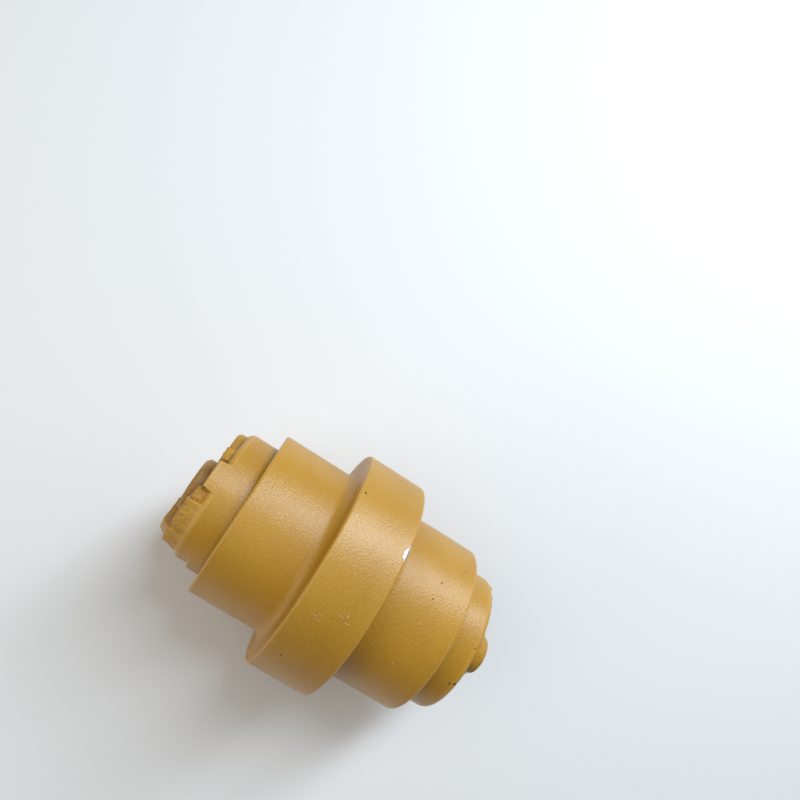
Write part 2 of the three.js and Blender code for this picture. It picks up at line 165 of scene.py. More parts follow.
def polar(radius: np.ndarray, height: np.ndarray, theta: np.ndarray) -> np.ndarray:
    """A surface whose radius and height differ with the angle: (r sin t, y, r cos t) at each grid point."""
    return np.stack([radius * np.sin(theta), height, radius * np.cos(theta)], axis=-1)


def piece_from_grid(
    name: str,
    grid: np.ndarray,
    *,
    tube: bool = True,
    marks: dict[Skin, np.ndarray] | None = None,
) -> bpy.types.Object:
    """Makes a closed mesh from a grid of points whose columns run once round the axis.

    Args:
        name: the piece's name.
        grid: points [rows, columns, 3] in millimetres.
        tube: whether the last row joins the first. Otherwise the first and last rows each close in one pole.
        marks: float values at each grid point, for the finish.

    Returns:
        The piece, untransformed, with its faces pointing outwards.
    """
    rows, columns = grid.shape[:2]
    index = np.arange(rows * columns).reshape(rows, columns)
    if not tube:
        index[0], index[-1] = index[0, 0], index[-1, 0]
    below = np.roll(index, -1, axis=0)
    upper, lower = (index, below) if tube else (index[:-1], below[:-1])
    quads = np.stack(
        [upper, lower, np.roll(lower, -1, axis=1), np.roll(upper, -1, axis=1)], axis=-1
    ).reshape(-1, 4)
    at_top, at_foot = quads[:, 0] == quads[:, 3], quads[:, 1] == quads[:, 2]
    fans = np.concatenate([quads[at_top][:, :3], quads[at_foot][:, [0, 1, 3]]])
    quads = quads[~(at_top | at_foot)]
    used, packed = np.unique(
        np.concatenate([quads.ravel(), fans.ravel()]), return_inverse=True
    )
    points = grid.reshape(-1, 3)[used] * MM
    packed = packed.reshape(-1)
    quads, fans = packed[: quads.size].reshape(-1, 4), packed[quads.size :].reshape(-1, 3)
    if enclosed_volume(points, quads, fans) < 0:
        quads, fans = quads[:, ::-1], fans[:, ::-1]
    starts = np.concatenate(
        [np.arange(len(quads)) * 4, quads.size + np.arange(len(fans)) * 3]
    )
    mesh = bpy.data.meshes.new(name)
    mesh.vertices.add(len(points))
    mesh.vertices.foreach_set("co", points.astype(np.float32).ravel())
    mesh.loops.add(quads.size + fans.size)
    mesh.loops.foreach_set(
        "vertex_index", np.concatenate([quads.ravel(), fans.ravel()]).astype(np.int32)
    )
    mesh.polygons.add(len(starts))
    mesh.polygons.foreach_set("loop_start", starts.astype(np.int32))
    mesh.update(calc_edges=True)
    mesh.polygons.foreach_set("use_smooth", np.ones(len(starts), bool))
    for skin, values in (marks or {}).items():
        layer = mesh.attributes.new(skin.value, "FLOAT", "POINT")
        flat = np.broadcast_to(values, (rows, columns)).reshape(-1)[used]
        layer.data.foreach_set("value", flat.astype(np.float32))
    piece = bpy.data.objects.new(name, mesh)
    bpy.context.scene.collection.objects.link(piece)
    return piece


def turned_piece(name: str, outline: np.ndarray) -> bpy.types.Object:
    """Makes a small piece by turning its closed outline about Y."""
    return piece_from_grid(name, turned(outline, angles(ROUND_SMALL)))


def enclosed_volume(points: np.ndarray, quads: np.ndarray, fans: np.ndarray) -> float:
    """The signed volume inside a mesh: the sum over its triangles of a . (b x c) / 6."""
    faces = np.concatenate([quads[:, :3], quads[:, [0, 2, 3]], fans])
    a, b, c = (points[faces[:, k]] for k in range(3))
    return float((a * np.cross(b, c)).sum() / 6)


def lattice_noise(points: np.ndarray, wavelength: float, seed: int) -> np.ndarray:
    """Smooth random values from -1 to 1.

    A hash gives each corner of a cubic lattice a number. A point's value is the blend of its cell's
    eight corners, weighted by the smoothstep 3s^2 - 2s^3 of its place in the cell.
    """
    place = points / wavelength + 512.0
    cell = np.floor(place).astype(np.int64)
    share = place - cell
    share = share * share * (3 - 2 * share)
    total = np.zeros(points.shape[:-1])
    for corner in np.ndindex(2, 2, 2):
        side = np.array(corner)
        x, y, z = np.moveaxis(cell + side, -1, 0)
        mixed = (x * 73856093) ^ (y * 19349663) ^ (z * 83492791) ^ (seed * 2654435761)
        mixed = (mixed ^ (mixed >> 13)) * 1274126177 & 0xFFFFFFFF
        weight = np.where(side == 1, share, 1 - share).prod(axis=-1)
        total += weight * (((mixed >> 8) & 0xFFFF) / 32767.5 - 1)
    return total


def softer_least(a: np.ndarray, b: np.ndarray, width: float) -> np.ndarray:
    """The lesser of two heights, less max(width - |a - b|, 0)^2 / (4 width) to round where they cross."""
    return np.minimum(a, b) - np.maximum(width - np.abs(a - b), 0) ** 2 / (4 * width)


def softer_most(a: np.ndarray, b: np.ndarray, width: float) -> np.ndarray:
    """The greater of two heights, with a fillet where they cross."""
    return -softer_least(-a, -b, width)


def blurred_steps(
    place: np.ndarray, knots: Sequence[float], heights: Sequence[float], blur: float
) -> np.ndarray:
    """A broken line through the knots, averaged over seven places spread across the blur."""
    spread = blur * np.linspace(-1, 1, 7)
    return np.mean([np.interp(place + offset, knots, heights) for offset in spread], 0)


def smoothstep(values: np.ndarray, low: float, high: float) -> np.ndarray:
    """0 below low, 1 above high, and 3s^2 - 2s^3 between them."""
    share = np.clip((values - low) / (high - low), 0, 1)
    return share * share * (3 - 2 * share)


# ---------------------------------------------------------------- shader work


class Desk:
    """Adds shader nodes to one tree and joins their sockets."""

    def __init__(self, tree: bpy.types.NodeTree) -> None:
        """Works on a tree."""
        self.tree = tree

    def feed(self, socket: Socket, value: Any) -> None:
        """Links a socket to another, or sets its constant."""
        if isinstance(value, Socket):
            self.tree.links.new(value, socket)
        else:
            socket.default_value = value

    def node(
        self, kind: str, feeds: dict[str | int, Any] | None = None, **settings: Any
    ) -> bpy.types.Node:
        """Adds a node.

        Args:
            kind: the node's type without its ShaderNode prefix.
            feeds: sockets or constants for its inputs, by name or place.
            settings: its own properties.

        Returns:
            The node.
        """
        made = self.tree.nodes.new("ShaderNode" + kind)
        for key, value in settings.items():
            setattr(made, key, value)
        for key, value in (feeds or {}).items():
            self.feed(made.inputs[key], value)
        return made

    def math(self, operation: str, a: Any, b: Any = 0.0, clamp: bool = False) -> Socket:
        """One arithmetic step on numbers."""
        feeds = {0: a, 1: b}
        return self.node("Math", feeds, operation=operation, use_clamp=clamp).outputs[0]

    def times(self, a: Any, b: Any) -> Socket:
        """The product of two numbers."""
        return self.math("MULTIPLY", a, b)

    def plus(self, a: Any, b: Any) -> Socket:
        """The sum of two numbers."""
        return self.math("ADD", a, b)

    def vector(self, operation: str, a: Any, b: Any = (0.0, 0.0, 0.0)) -> bpy.types.Node:
        """One arithmetic step on vectors."""
        return self.node("VectorMath", {0: a, 1: b}, operation=operation)

    def remap(
        self, value: Any, low: float, high: float, to_low: float = 0.0, to_high: float = 1.0
    ) -> Socket:
        """A smooth step of a number from one range to another."""
        feeds = {
            "Value": value,
            "From Min": low,
            "From Max": high,
            "To Min": to_low,
            "To Max": to_high,
        }
        made = self.node("MapRange", feeds, interpolation_type="SMOOTHSTEP")
        return made.outputs[0]

    def blend(self, factor: Any, a: Any, b: Any) -> Socket:
        """A colour between two colours."""
        feeds = {
            0: factor,
            6: a if isinstance(a, Socket) else (*a, 1.0),
            7: b if isinstance(b, Socket) else (*b, 1.0),
        }
        return self.node("Mix", feeds, data_type="RGBA").outputs[2]

    def noise(
        self, vector: Any, wavelength: float, detail: float = 2.0, roughness: float = 0.5
    ) -> Socket:
        """Noise from about 0 to 1 with features of a length in millimetres."""
        feeds = {
            "Vector": vector,
            "Scale": 1 / (wavelength * MM),
            "Detail": detail,
            "Roughness": roughness,
        }
        return self.node("TexNoise", feeds).outputs[0]

    def group(self, tree: bpy.types.NodeTree, **feeds: Any) -> bpy.types.Node:
        """Places a node group, with its inputs' spaces written as underscores."""
        made = self.node("Group", node_tree=tree)
        for key, value in feeds.items():
            self.feed(made.inputs[key.replace("_", " ")], value)
        return made


Filler = Callable[[Desk, bpy.types.Node], dict[str, Socket]]


def effect(name: str, inputs: dict[str, Any], outputs: dict[str, str], fill: Filler) -> Any:
    """Builds a shader node group.

    Args:
        name: the group's name.
        inputs: each input's name and constant; None is a vector.
        outputs: each output's name and kind, Float or Color.
        fill: adds the group's nodes and returns what each output takes.

    Returns:
        The group's tree.
    """
    tree = bpy.data.node_groups.new(name, "ShaderNodeTree")
    for key, value in inputs.items():
        is_vector = value is None or isinstance(value, tuple)
        kind = "NodeSocketVector" if is_vector else "NodeSocketFloat"
        socket = tree.interface.new_socket(key, in_out="INPUT", socket_type=kind)
        if value is not None:
            socket.default_value = value
    for key, kind in outputs.items():
        tree.interface.new_socket(key, in_out="OUTPUT", socket_type="NodeSocket" + kind)
    entry, leave = tree.nodes.new("NodeGroupInput"), tree.nodes.new("NodeGroupOutput")
    for key, socket in fill(Desk(tree), entry).items():
        tree.links.new(socket, leave.inputs[key])
    return tree


@lru_cache(maxsize=None)
def paint_film() -> bpy.types.NodeTree:
    """Sprayed enamel: its fine orange peel as a height in millimetres, and slow drifts of its tint."""

    def fill(desk: Desk, entry: bpy.types.Node) -> dict[str, Socket]:
        place, depth = entry.outputs["Place"], entry.outputs["Peel Depth"]
        peel = desk.noise(place, 1.3, 1.5, 0.45)
        nib = desk.noise(place, 0.6, 1.0)
        both = desk.plus(peel, desk.times(nib, 0.4))
        waves = desk.times(desk.noise(place, 9.0, 1.0), 0.4)
        height = desk.times(desk.plus(both, waves), depth)
        drift = desk.remap(desk.noise(place, 46.0, 2.0, 0.5), 0.28, 0.72)
        grain = desk.remap(peel, 0.36, 0.66)
        return {"Height": height, "Drift": drift, "Grain": grain}

    outputs = {"Height": "Float", "Drift": "Float", "Grain": "Float"}
    return effect("paint_film", {"Place": None, "Peel Depth": 0.05}, outputs, fill)


@lru_cache(maxsize=None)
def cast_skin() -> bpy.types.NodeTree:
    """A sand-cast skin: grains and small pits as a height in millimetres, and a mask of its pits."""

    def fill(desk: Desk, entry: bpy.types.Node) -> dict[str, Socket]:
        place, depth = entry.outputs["Place"], entry.outputs["Depth"]
        coarse = desk.noise(place, 2.2, 5.0, 0.62)
        cells = desk.node("TexVoronoi", {"Vector": place, "Scale": 1 / (1.3 * MM)}).outputs[0]
        sand = desk.math("SUBTRACT", coarse, desk.times(cells, 0.35))
        pits = desk.remap(sand, 0.26, 0.10)
        return {"Height": desk.times(sand, depth), "Pits": pits}

    outputs = {"Height": "Float", "Pits": "Float"}
    return effect("cast_skin", {"Place": None, "Depth": 0.5}, outputs, fill)


@lru_cache(maxsize=None)
def tool_lines() -> bpy.types.NodeTree:
    """Turning marks: noise squeezed along the axis and stretched round it, as a height in millimetres."""

    def fill(desk: Desk, entry: bpy.types.Node) -> dict[str, Socket]:
        place, depth = entry.outputs["Place"], entry.outputs["Depth"]
        squeeze = desk.vector("MULTIPLY", place, (0.04, 1.0, 0.04)).outputs[0]
        fine = desk.noise(squeeze, 0.55, 3.0, 0.62)
        broad = desk.noise(squeeze, 3.1, 1.0)
        both = desk.plus(fine, desk.times(broad, 0.8))
        return {"Height": desk.times(both, depth)}

    return effect("tool_lines", {"Place": None, "Depth": 0.03}, {"Height": "Float"}, fill)


@lru_cache(maxsize=None)
def spot() -> bpy.types.NodeTree:
    """A small mark with a ragged edge, 1 inside and 0 outside.

    The distance from its centre is measured in its own half-widths along X, Y and Z, and noise bends it.
    """

    def fill(desk: Desk, entry: bpy.types.Node) -> dict[str, Socket]:
        place = entry.outputs["Place"]
        offset = desk.vector("SUBTRACT", place, entry.outputs["Centre"]).outputs[0]
        scaled = desk.vector("DIVIDE", offset, entry.outputs["Half Widths"]).outputs[0]
        distance = desk.vector("LENGTH", scaled).outputs["Value"]
        bend = desk.math("SUBTRACT", desk.noise(place, 1.6, 4.0, 0.65), 0.5)
        bent = desk.plus(distance, desk.times(bend, entry.outputs["Ragged"]))
        return {"Mask": desk.remap(bent, 1.08, 0.86)}

    inputs = {"Place": None, "Centre": (0, 0, 0), "Half Widths": (1, 1, 1), "Ragged": 2.0}
    return effect("spot", inputs, {"Mask": "Float"}, fill)


# ---------------------------------------------------------------- finishes


class MarkKind(Enum):
    """What a small mark on the paint is: its colour, whether it is metal, and its height in millimetres."""

    CHIP = ((0.62, 0.63, 0.64), 1.0, -0.16)
    # A pit's dark colour is painted shade in its hollow.
    PIT = ((0.045, 0.022, 0.010), 0.0, -0.45)
    # A run's paler colour is a painted highlight on its ridge.
    RUN = ((0.60, 0.335, 0.075), 0.0, 0.32)
    RUST = ((0.16, 0.050, 0.014), 0.0, -0.12)

    @property
    def colour(self) -> Colour:
        """The mark's colour."""
        return self.value[0]

    @property
    def metal(self) -> float:
        """1 for bare metal and 0 for anything else."""
        return self.value[1]

    @property
    def height(self) -> float:
        """How far the mark stands out, in millimetres."""
        return self.value[2]


@dataclass(frozen=True)
class Mark:
    """A small mark on a round surface, at an angle, a Y and a radius.

    It has half-widths along the axis and round it.
    """

    kind: MarkKind
    angle: float
    y: float
    radius: float
    along: float
    around: float
    ragged: float = 2.0

    @property
    def centre(self) -> Point:
        """The mark's place in metres."""
        turn = np.radians(self.angle)
        at = self.radius * MM
        return (float(at * np.sin(turn)), self.y * MM, float(at * np.cos(turn)))

    @property
    def half_widths(self) -> Point:
        """The mark's half-widths along X, Y and Z in metres."""
        return (self.around * MM, self.along * MM, self.around * MM)


@dataclass(frozen=True)
class Finish:
    """What every finish has: its name, and one material made from it."""

    name: str

    def desk(self) -> tuple[bpy.types.Material, Desk, Socket]:
        """A new material with an empty tree, a desk for it, and its object coordinates."""
        material = bpy.data.materials.new(self.name)
        material.use_nodes = True
        material.node_tree.nodes.clear()
        desk = Desk(material.node_tree)
        return material, desk, desk.node("TexCoord").outputs["Object"]

    def skin(self, desk: Desk, skin: Skin) -> Socket:
        """A float attribute of the mesh."""
        return desk.node("Attribute", attribute_name=skin.value).outputs["Fac"]

    def close(self, desk: Desk, height: Socket, feeds: dict[str, Any]) -> None:
        """Ends a tree in a bump, a Principled BSDF and the output.

        Args:
            desk: the tree's desk.
            height: the surface's height in millimetres.
            feeds: what the shader's sockets take.
        """
        bump = desk.node("Bump", {"Height": height, "Distance": MM, "Strength": 1.0})
        shader = desk.node("BsdfPrincipled", {**feeds, "Normal": bump.outputs[0]})
        out = desk.node("OutputMaterial")
        desk.feed(out.inputs["Surface"], shader.outputs[0])


@dataclass(frozen=True)
class Enamel(Finish):
    """Satin ochre enamel over machined and cast steel, with grime and painted shade in its gaps, a painted
    highlight on its rims and a few small marks.
    """

    colour: Colour = (0.530, 0.262, 0.017)
    deep: Colour = (0.465, 0.226, 0.014)
    # A paler ochre for the peel's random grain, and for a painted highlight on rims.
    grain_and_highlight_tint: Colour = (0.62, 0.335, 0.050)
    # A dark brown for grime and painted shade in gaps and pits.
    dirt: Colour = (0.030, 0.015, 0.007)
    peel: float = 0.20
    cast_depth: float = 0.55
    sheen_low: float = 0.36
    sheen_high: float = 0.42
    marks: tuple[Mark, ...] = ()

    def material(self) -> bpy.types.Material:
        """The finish as a material."""
        material, desk, place = self.desk()
        cast, gap, rim = (self.skin(desk, skin) for skin in (Skin.CAST, Skin.GAP, Skin.RIM))
        film = desk.group(paint_film(), Place=place, Peel_Depth=self.peel)
        sand = desk.group(cast_skin(), Place=place, Depth=self.cast_depth)
        lines = desk.group(tool_lines(), Place=place, Depth=0.012)
        colour = desk.blend(film.outputs["Drift"], self.deep, self.colour)
        grain = desk.times(film.outputs["Grain"], 0.30)
        colour = desk.blend(grain, colour, self.grain_and_highlight_tint)
        # Painted highlight: rims lighten towards the paler ochre.
        colour = desk.blend(desk.times(rim, 0.6), colour, self.grain_and_highlight_tint)
        # Painted shade: the cast skin's pits darken.
        pits = desk.times(sand.outputs["Pits"], cast)
        colour = desk.blend(desk.times(pits, 0.35), colour, self.dirt)
        # Grime with painted shade: gaps and hollows darken raggedly towards a dark brown.
        ragged = desk.times(desk.noise(place, 7.0, 3.0, 0.6), 0.7)
        grime_shade_mask = desk.math("MULTIPLY", gap, desk.plus(ragged, 0.55), clamp=True)
        colour = desk.blend(grime_shade_mask, colour, self.dirt)
        cast_height = desk.times(sand.outputs["Height"], cast)
        height = desk.plus(film.outputs["Height"], lines.outputs["Height"])
        height = desk.plus(height, cast_height)
        metal: Any = 0.0
        for mark in self.marks:
            mask = desk.group(
                spot(),
                Place=place,
                Centre=mark.centre,
                Half_Widths=mark.half_widths,
                Ragged=mark.ragged,
            ).outputs[0]
            colour = desk.blend(mask, colour, mark.kind.colour)
            rise = desk.times(mask, mark.kind.height)
            height = desk.plus(height, rise)
            if mark.kind.metal:
                metal = desk.math("MAXIMUM", metal, mask)
        rough = desk.remap(film.outputs["Drift"], 0.0, 1.0, self.sheen_high, self.sheen_low)
        rough = desk.plus(rough, desk.times(cast, 0.04))
        rough = desk.plus(rough, desk.times(grime_shade_mask, 0.3))
        feeds = {
            "Base Color": colour,
            "Roughness": rough,
            "Metallic": metal,
            "Specular IOR Level": 0.65,
        }
        self.close(desk, height, feeds)
        return material


@dataclass(frozen=True)
class TurnedMetal(Finish):
    """Turned metal: its colour drifts, its turning marks run round the axis, old oil stains it, and grime
    with painted shade darkens its gaps.
    """

    colour: Colour = (0.50, 0.50, 0.51)
    stain: Colour = (0.16, 0.12, 0.08)
    roughness: float = 0.28
    line_depth: float = 0.03
    painted_beyond: float = 0.0
    paint: Colour = (0.40, 0.20, 0.028)

    def material(self) -> bpy.types.Material:
        """The finish as a material."""
        material, desk, place = self.desk()
        gap = self.skin(desk, Skin.GAP)
        lines = desk.group(tool_lines(), Place=place, Depth=self.line_depth)
        film = desk.group(paint_film(), Place=place, Peel_Depth=0.03)
        oil = desk.times(film.outputs["Drift"], 0.45)
        colour = desk.blend(oil, self.colour, self.stain)
        rough = desk.remap(film.outputs["Drift"], 0, 1, self.roughness, self.roughness + 0.16)
        metal: Any = desk.remap(film.outputs["Drift"], 0.0, 1.0, 1.0, 0.9)
        height = lines.outputs["Height"]
        if self.painted_beyond:
            y = desk.node("SeparateXYZ", {0: place}).outputs[1]
            outside = desk.math("ABSOLUTE", y)
            edge = self.painted_beyond * MM
            wavy = desk.times(desk.math("SUBTRACT", film.outputs["Grain"], 0.5), 0.4 * MM)
            painted = desk.remap(desk.plus(outside, wavy), edge - 0.1 * MM, edge + 0.1 * MM)
            coat = desk.blend(desk.times(film.outputs["Grain"], 0.4), self.paint, self.stain)
            colour = desk.blend(painted, colour, coat)
            metal = desk.times(metal, desk.math("SUBTRACT", 1.0, painted))
            rough = desk.plus(rough, desk.times(painted, 0.1))
            height = desk.plus(height, desk.times(film.outputs["Height"], painted))
        # Grime with painted shade: gaps darken and lose their metal.
        grime_shade_mask = desk.times(gap, 0.9)
        colour = desk.blend(grime_shade_mask, colour, (0.022, 0.013, 0.008))
        metal = desk.times(metal, desk.math("SUBTRACT", 1.0, grime_shade_mask))
        rough = desk.plus(rough, desk.times(grime_shade_mask, 0.25))
        self.close(desk, height, {"Base Color": colour, "Roughness": rough, "Metallic": metal})
        return material


@dataclass(frozen=True)
class MouldedRubber(Finish):
    """Black oil-proof rubber with a faint moulded grain and a film of oil."""

    colour: Colour = (0.012, 0.012, 0.013)
    bloom: Colour = (0.040, 0.038, 0.036)

    def material(self) -> bpy.types.Material:
        """The finish as a material."""
        material, desk, place = self.desk()
        film = desk.group(paint_film(), Place=place, Peel_Depth=0.02)
        colour = desk.blend(film.outputs["Drift"], self.colour, self.bloom)
        rough = desk.remap(film.outputs["Grain"], 0.0, 1.0, 0.42, 0.62)
        self.close(desk, film.outputs["Height"], {"Base Color": colour, "Roughness": rough})
        return material


SHELL_MARKS = (
    Mark(MarkKind.CHIP, -21.5, 21.6, 81.8, 1.9, 4.6, 1.5),
    Mark(MarkKind.CHIP, -24.6, 22.3, 81.4, 1.1, 2.6, 1.5),
    Mark(MarkKind.PIT, -37.8, -19.0, 82.5, 0.75, 0.75, 1.0),
    Mark(MarkKind.PIT, 47.4, -11.2, 82.5, 0.6, 0.7, 1.0),
    Mark(MarkKind.PIT, -44.1, 71.9, 62.6, 0.6, 0.6, 1.0),
    Mark(MarkKind.PIT, -41.0, 70.0, 62.6, 0.4, 0.4, 1.0),
    Mark(MarkKind.PIT, -26.5, 57.1, 62.6, 0.5, 0.6, 1.0),
    Mark(MarkKind.PIT, -14.7, 55.5, 62.6, 0.4, 0.6, 1.0),
    Mark(MarkKind.RUN, 1.9, 54.6, 62.6, 0.9, 1.2, 1.6),
    Mark(MarkKind.RUN, 5.2, 79.6, 62.4, 0.9, 1.4, 1.6),
    Mark(MarkKind.RUN, 41.9, -20.2, 82.5, 0.9, 1.0, 1.6),
    Mark(MarkKind.RUN, 30.5, 54.8, 62.6, 1.0, 1.2, 1.6),
    Mark(MarkKind.RUN, 20.8, -9.6, 82.5, 3.2, 0.55, 1.3),
    Mark(MarkKind.RUN, 19.4, -6.8, 82.5, 2.4, 0.5, 1.3),
    Mark(MarkKind.RUN, 22.0, -6.4, 82.5, 2.6, 0.5, 1.3),
    Mark(MarkKind.RUN, 15.6, 5.2, 82.5, 2.6, 0.6, 1.6),
    Mark(MarkKind.RUN, 14.2, 8.4, 82.5, 1.0, 1.8, 1.6),
    Mark(MarkKind.RUN, 17.0, 10.4, 82.5, 2.2, 0.6, 1.6),
    Mark(MarkKind.RUN, 9.7, 12.6, 82.5, 0.7, 0.8, 1.6),
    Mark(MarkKind.CHIP, 152.0, -22.4, 81.6, 1.2, 3.0, 1.8),
    Mark(MarkKind.PIT, 118.0, 40.0, 62.6, 0.7, 0.6, 1.0),
    Mark(MarkKind.PIT, 201.0, -48.0, 62.6, 0.6, 0.8, 1.0),
    Mark(MarkKind.RUN, 236.0, 66.0, 62.6, 1.0, 1.4, 1.6),
)
COLLAR_MARKS = (
    Mark(MarkKind.PIT, -3.7, 100.8, 50.6, 0.5, 0.5, 1.0),
    Mark(MarkKind.RUST, 27.8, 101.5, 50.2, 1.2, 1.0, 2.4),
    Mark(MarkKind.RUST, 29.6, 98.4, 50.6, 0.7, 0.7, 2.4),
    Mark(MarkKind.CHIP, -6.0, 111.2, 44.0, 1.6, 2.2, 2.4),
)
SHELL_PAINT = Enamel("shell_enamel", marks=SHELL_MARKS)
COLLAR_PAINT = Enamel("collar_enamel", peel=0.17, marks=COLLAR_MARKS)
GROUND_SHAFT = TurnedMetal("ground_shaft_steel", painted_beyond=99.8)
LAPPED_IRON = TurnedMetal("lapped_seal_iron", (0.36, 0.36, 0.37), roughness=0.2, line_depth=0.012)
SPRING_STEEL = TurnedMetal("blackened_spring_steel", (0.085, 0.078, 0.07), (0.10, 0.055, 0.02), 0.42)
BRONZE = TurnedMetal("bush_bronze", (0.55, 0.32, 0.13), (0.22, 0.11, 0.04), 0.3)
RUBBER = MouldedRubber("seal_rubber")


@lru_cache(maxsize=None)
def material_of(finish: Any) -> bpy.types.Material:
    """A finish's material, made once."""
    return finish.material()


def dress(
    piece: bpy.types.Object, finish: Any, body: str, slot: str, *nodes: str
) -> bpy.types.Object:
    """Gives a piece its finish and its body, and reports it.

    Args:
        piece: the finished mesh.
        finish: what it is made of.
        body: the CAD body that it moves with.
        slot: not used.
        nodes: the CAD nodes that it stands for.

    Returns:
        The piece.
    """
    piece.data.materials.append(material_of(finish))
    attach(piece, body)
    if nodes:
        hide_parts(*nodes)
    LOG.info("%s: %d faces, on %s", piece.name, len(piece.data.polygons), body)
    return piece


# ---------------------------------------------------------------- the roller's sub-assemblies


def both_ends(half: Sequence[Point]) -> list[Point]:
    """The corners of the right half, then their mirror image in reverse order."""
    return [*half, *[(r, -y, fillet) for r, y, fillet in reversed(half)]]


@dataclass(frozen=True)
class RollingShell:
    """The one-piece rolling shell, with its two bushes. Radii and lengths are millimetres."""

    flange_radius: float = 82.5
    flange_half_width: float = 22.9
    flange_edge: float = 1.6
    flange_root: float = 7.0
    tread_radius: float = 62.6
    tread_edge: float = 1.8
    half_length: float = 81.2
    skirt_bore: float = 51.8
    skirt_floor: float = 73.4
    seat_mouth: float = 45.0
    seat_start: float = 69.4
    seat_foot: float = 41.36
    cavity_floor: float = 59.0
    bush_bore: float = 27.3
    chamber_radius: float = 31.0
    chamber_end: float = 14.7
    bush_inner: float = 23.3
    bush_outer: float = 27.0
    bush_start: float = 15.3
    bush_flange: float = 33.2
    bush_flange_at: float = 59.3
    bush_end: float = 63.0
    lap_from: float = 92.0
    lap_to: float = 266.0
    lap_depth: float = 0.5

    def outline(self) -> np.ndarray:
        """The shell's closed outline, which starts at the flange's right edge."""
        half = [
            (self.flange_radius, self.flange_half_width, self.flange_edge),
            (self.tread_radius, self.flange_half_width, self.flange_root),
            (self.tread_radius, self.half_length, self.tread_edge),
            (self.skirt_bore, self.half_length, 0.5),
            (self.skirt_bore, self.skirt_floor, 0.6),
            (self.seat_mouth, self.skirt_floor, 0.3),
            (self.seat_mouth, self.seat_start, 0.3),
            (self.seat_foot, self.cavity_floor, 0.5),
            (self.bush_bore, self.cavity_floor, 0.3),
            (self.bush_bore, self.chamber_end, 0.2),
            (self.chamber_radius, self.chamber_end, 0.3),
        ]
        return filleted(both_ends(half), steps=7)

    def lap_rows(self, theta: np.ndarray) -> tuple[np.ndarray, np.ndarray]:
        """The rows that carry the forging lap round the flange.

        The lap's middle wanders as a sum of sines of the angle, and its depth is a narrow bell across it
        that fades at its two ends.

        Args:
            theta: the columns' angles in radians.

        Returns:
            The rows' radii and their Y.
        """
        across = np.array([-1.9, -0.8, -0.4, -0.15, 0.15, 0.4, 0.8, 1.9])[:, None]
        wander = 2.3 * np.sin(2 * theta + 0.7) + 1.1 * np.sin(5 * theta + 2.0)
        middle = 5.5 + wander + 0.5 * np.sin(13 * theta) + 0.25 * np.sin(37 * theta)
        degrees = np.degrees(theta) % 360
        fade = smoothstep(degrees, self.lap_from, self.lap_from + 14) * smoothstep(
            -degrees, -self.lap_to, 14 - self.lap_to
        )
        uneven = 0.75 + 0.25 * np.sin(23 * theta)
        bell = np.exp(-((across / 0.42) ** 2)) * self.lap_depth
        return self.flange_radius - bell * fade * uneven, middle + across

    def marks(self, radius: np.ndarray, height: np.ndarray) -> dict[Skin, np.ndarray]:
        """Grime with painted shade in both end cavities, and a painted highlight along the flange and tread
        edges.
        """
        # Grime with painted shade inside the end cavities.
        inside = smoothstep(self.skirt_bore + 2.2 - radius, 0.0, 2.4)
        flange_rim = np.hypot(
            radius - self.flange_radius, np.abs(height) - self.flange_half_width
        )
        tread_rim = np.hypot(radius - self.tread_radius, np.abs(height) - self.half_length)
        # A painted highlight along the flange and tread edges.
        rim = 1 - smoothstep(np.minimum(flange_rim, tread_rim), 0.8, 2.6)
        return {Skin.GAP: inside, Skin.RIM: rim, Skin.CAST: 0 * radius}

    def build(self) -> None:
        """Makes the shell: its outline is turned, and the lap's rows lie between the flange's two edges."""
        theta = angles(ROUND_FINE)
        outline = self.outline()
        ring = np.ones_like(theta)
        radius, height = outline[:, :1] * ring, outline[:, 1:2] * ring
        lap_radius, lap_height = self.lap_rows(theta)
        radius = np.concatenate([radius[:-1], lap_radius, radius[-1:]])
        height = np.concatenate([height[:-1], lap_height, height[-1:]])
        sunk = self.flange_radius - radius
        marks = self.marks(radius, height)
        # Painted shade in the forging lap's groove.
        at_lap = np.zeros_like(radius)
        at_lap[-1 - len(lap_radius) : -1] = smoothstep(sunk[-1 - len(lap_radius) : -1], 0.06, 0.4)
        marks[Skin.GAP] = np.maximum(marks[Skin.GAP], at_lap)
        shell = piece_from_grid("rolling_shell", polar(radius, height, theta), marks=marks)
        dress(shell, SHELL_PAINT, "roller", "shell_paint", "roller_shell")
        for end in End:
            self.bush(end)

    def bush(self, end: End) -> None:
        """Makes the flanged bush of one end: an L-shaped outline turned about the axis."""
        corners = [
            (self.bush_inner, self.bush_start, 0.5),
            (self.bush_outer, self.bush_start, 0.8),
            (self.bush_outer, self.bush_flange_at, 0.3),
            (self.bush_flange, self.bush_flange_at, 0.5),
            (self.bush_flange, self.bush_end, 0.6),
            (self.bush_inner, self.bush_end, 0.8),
        ]
        outline = filleted(corners, steps=3) * (1, end.value)
        piece = turned_piece(f"flanged_bush_{end.word}", outline)
        dress(piece, BRONZE, "roller", "bush_metal", f"bush_{end.word}")


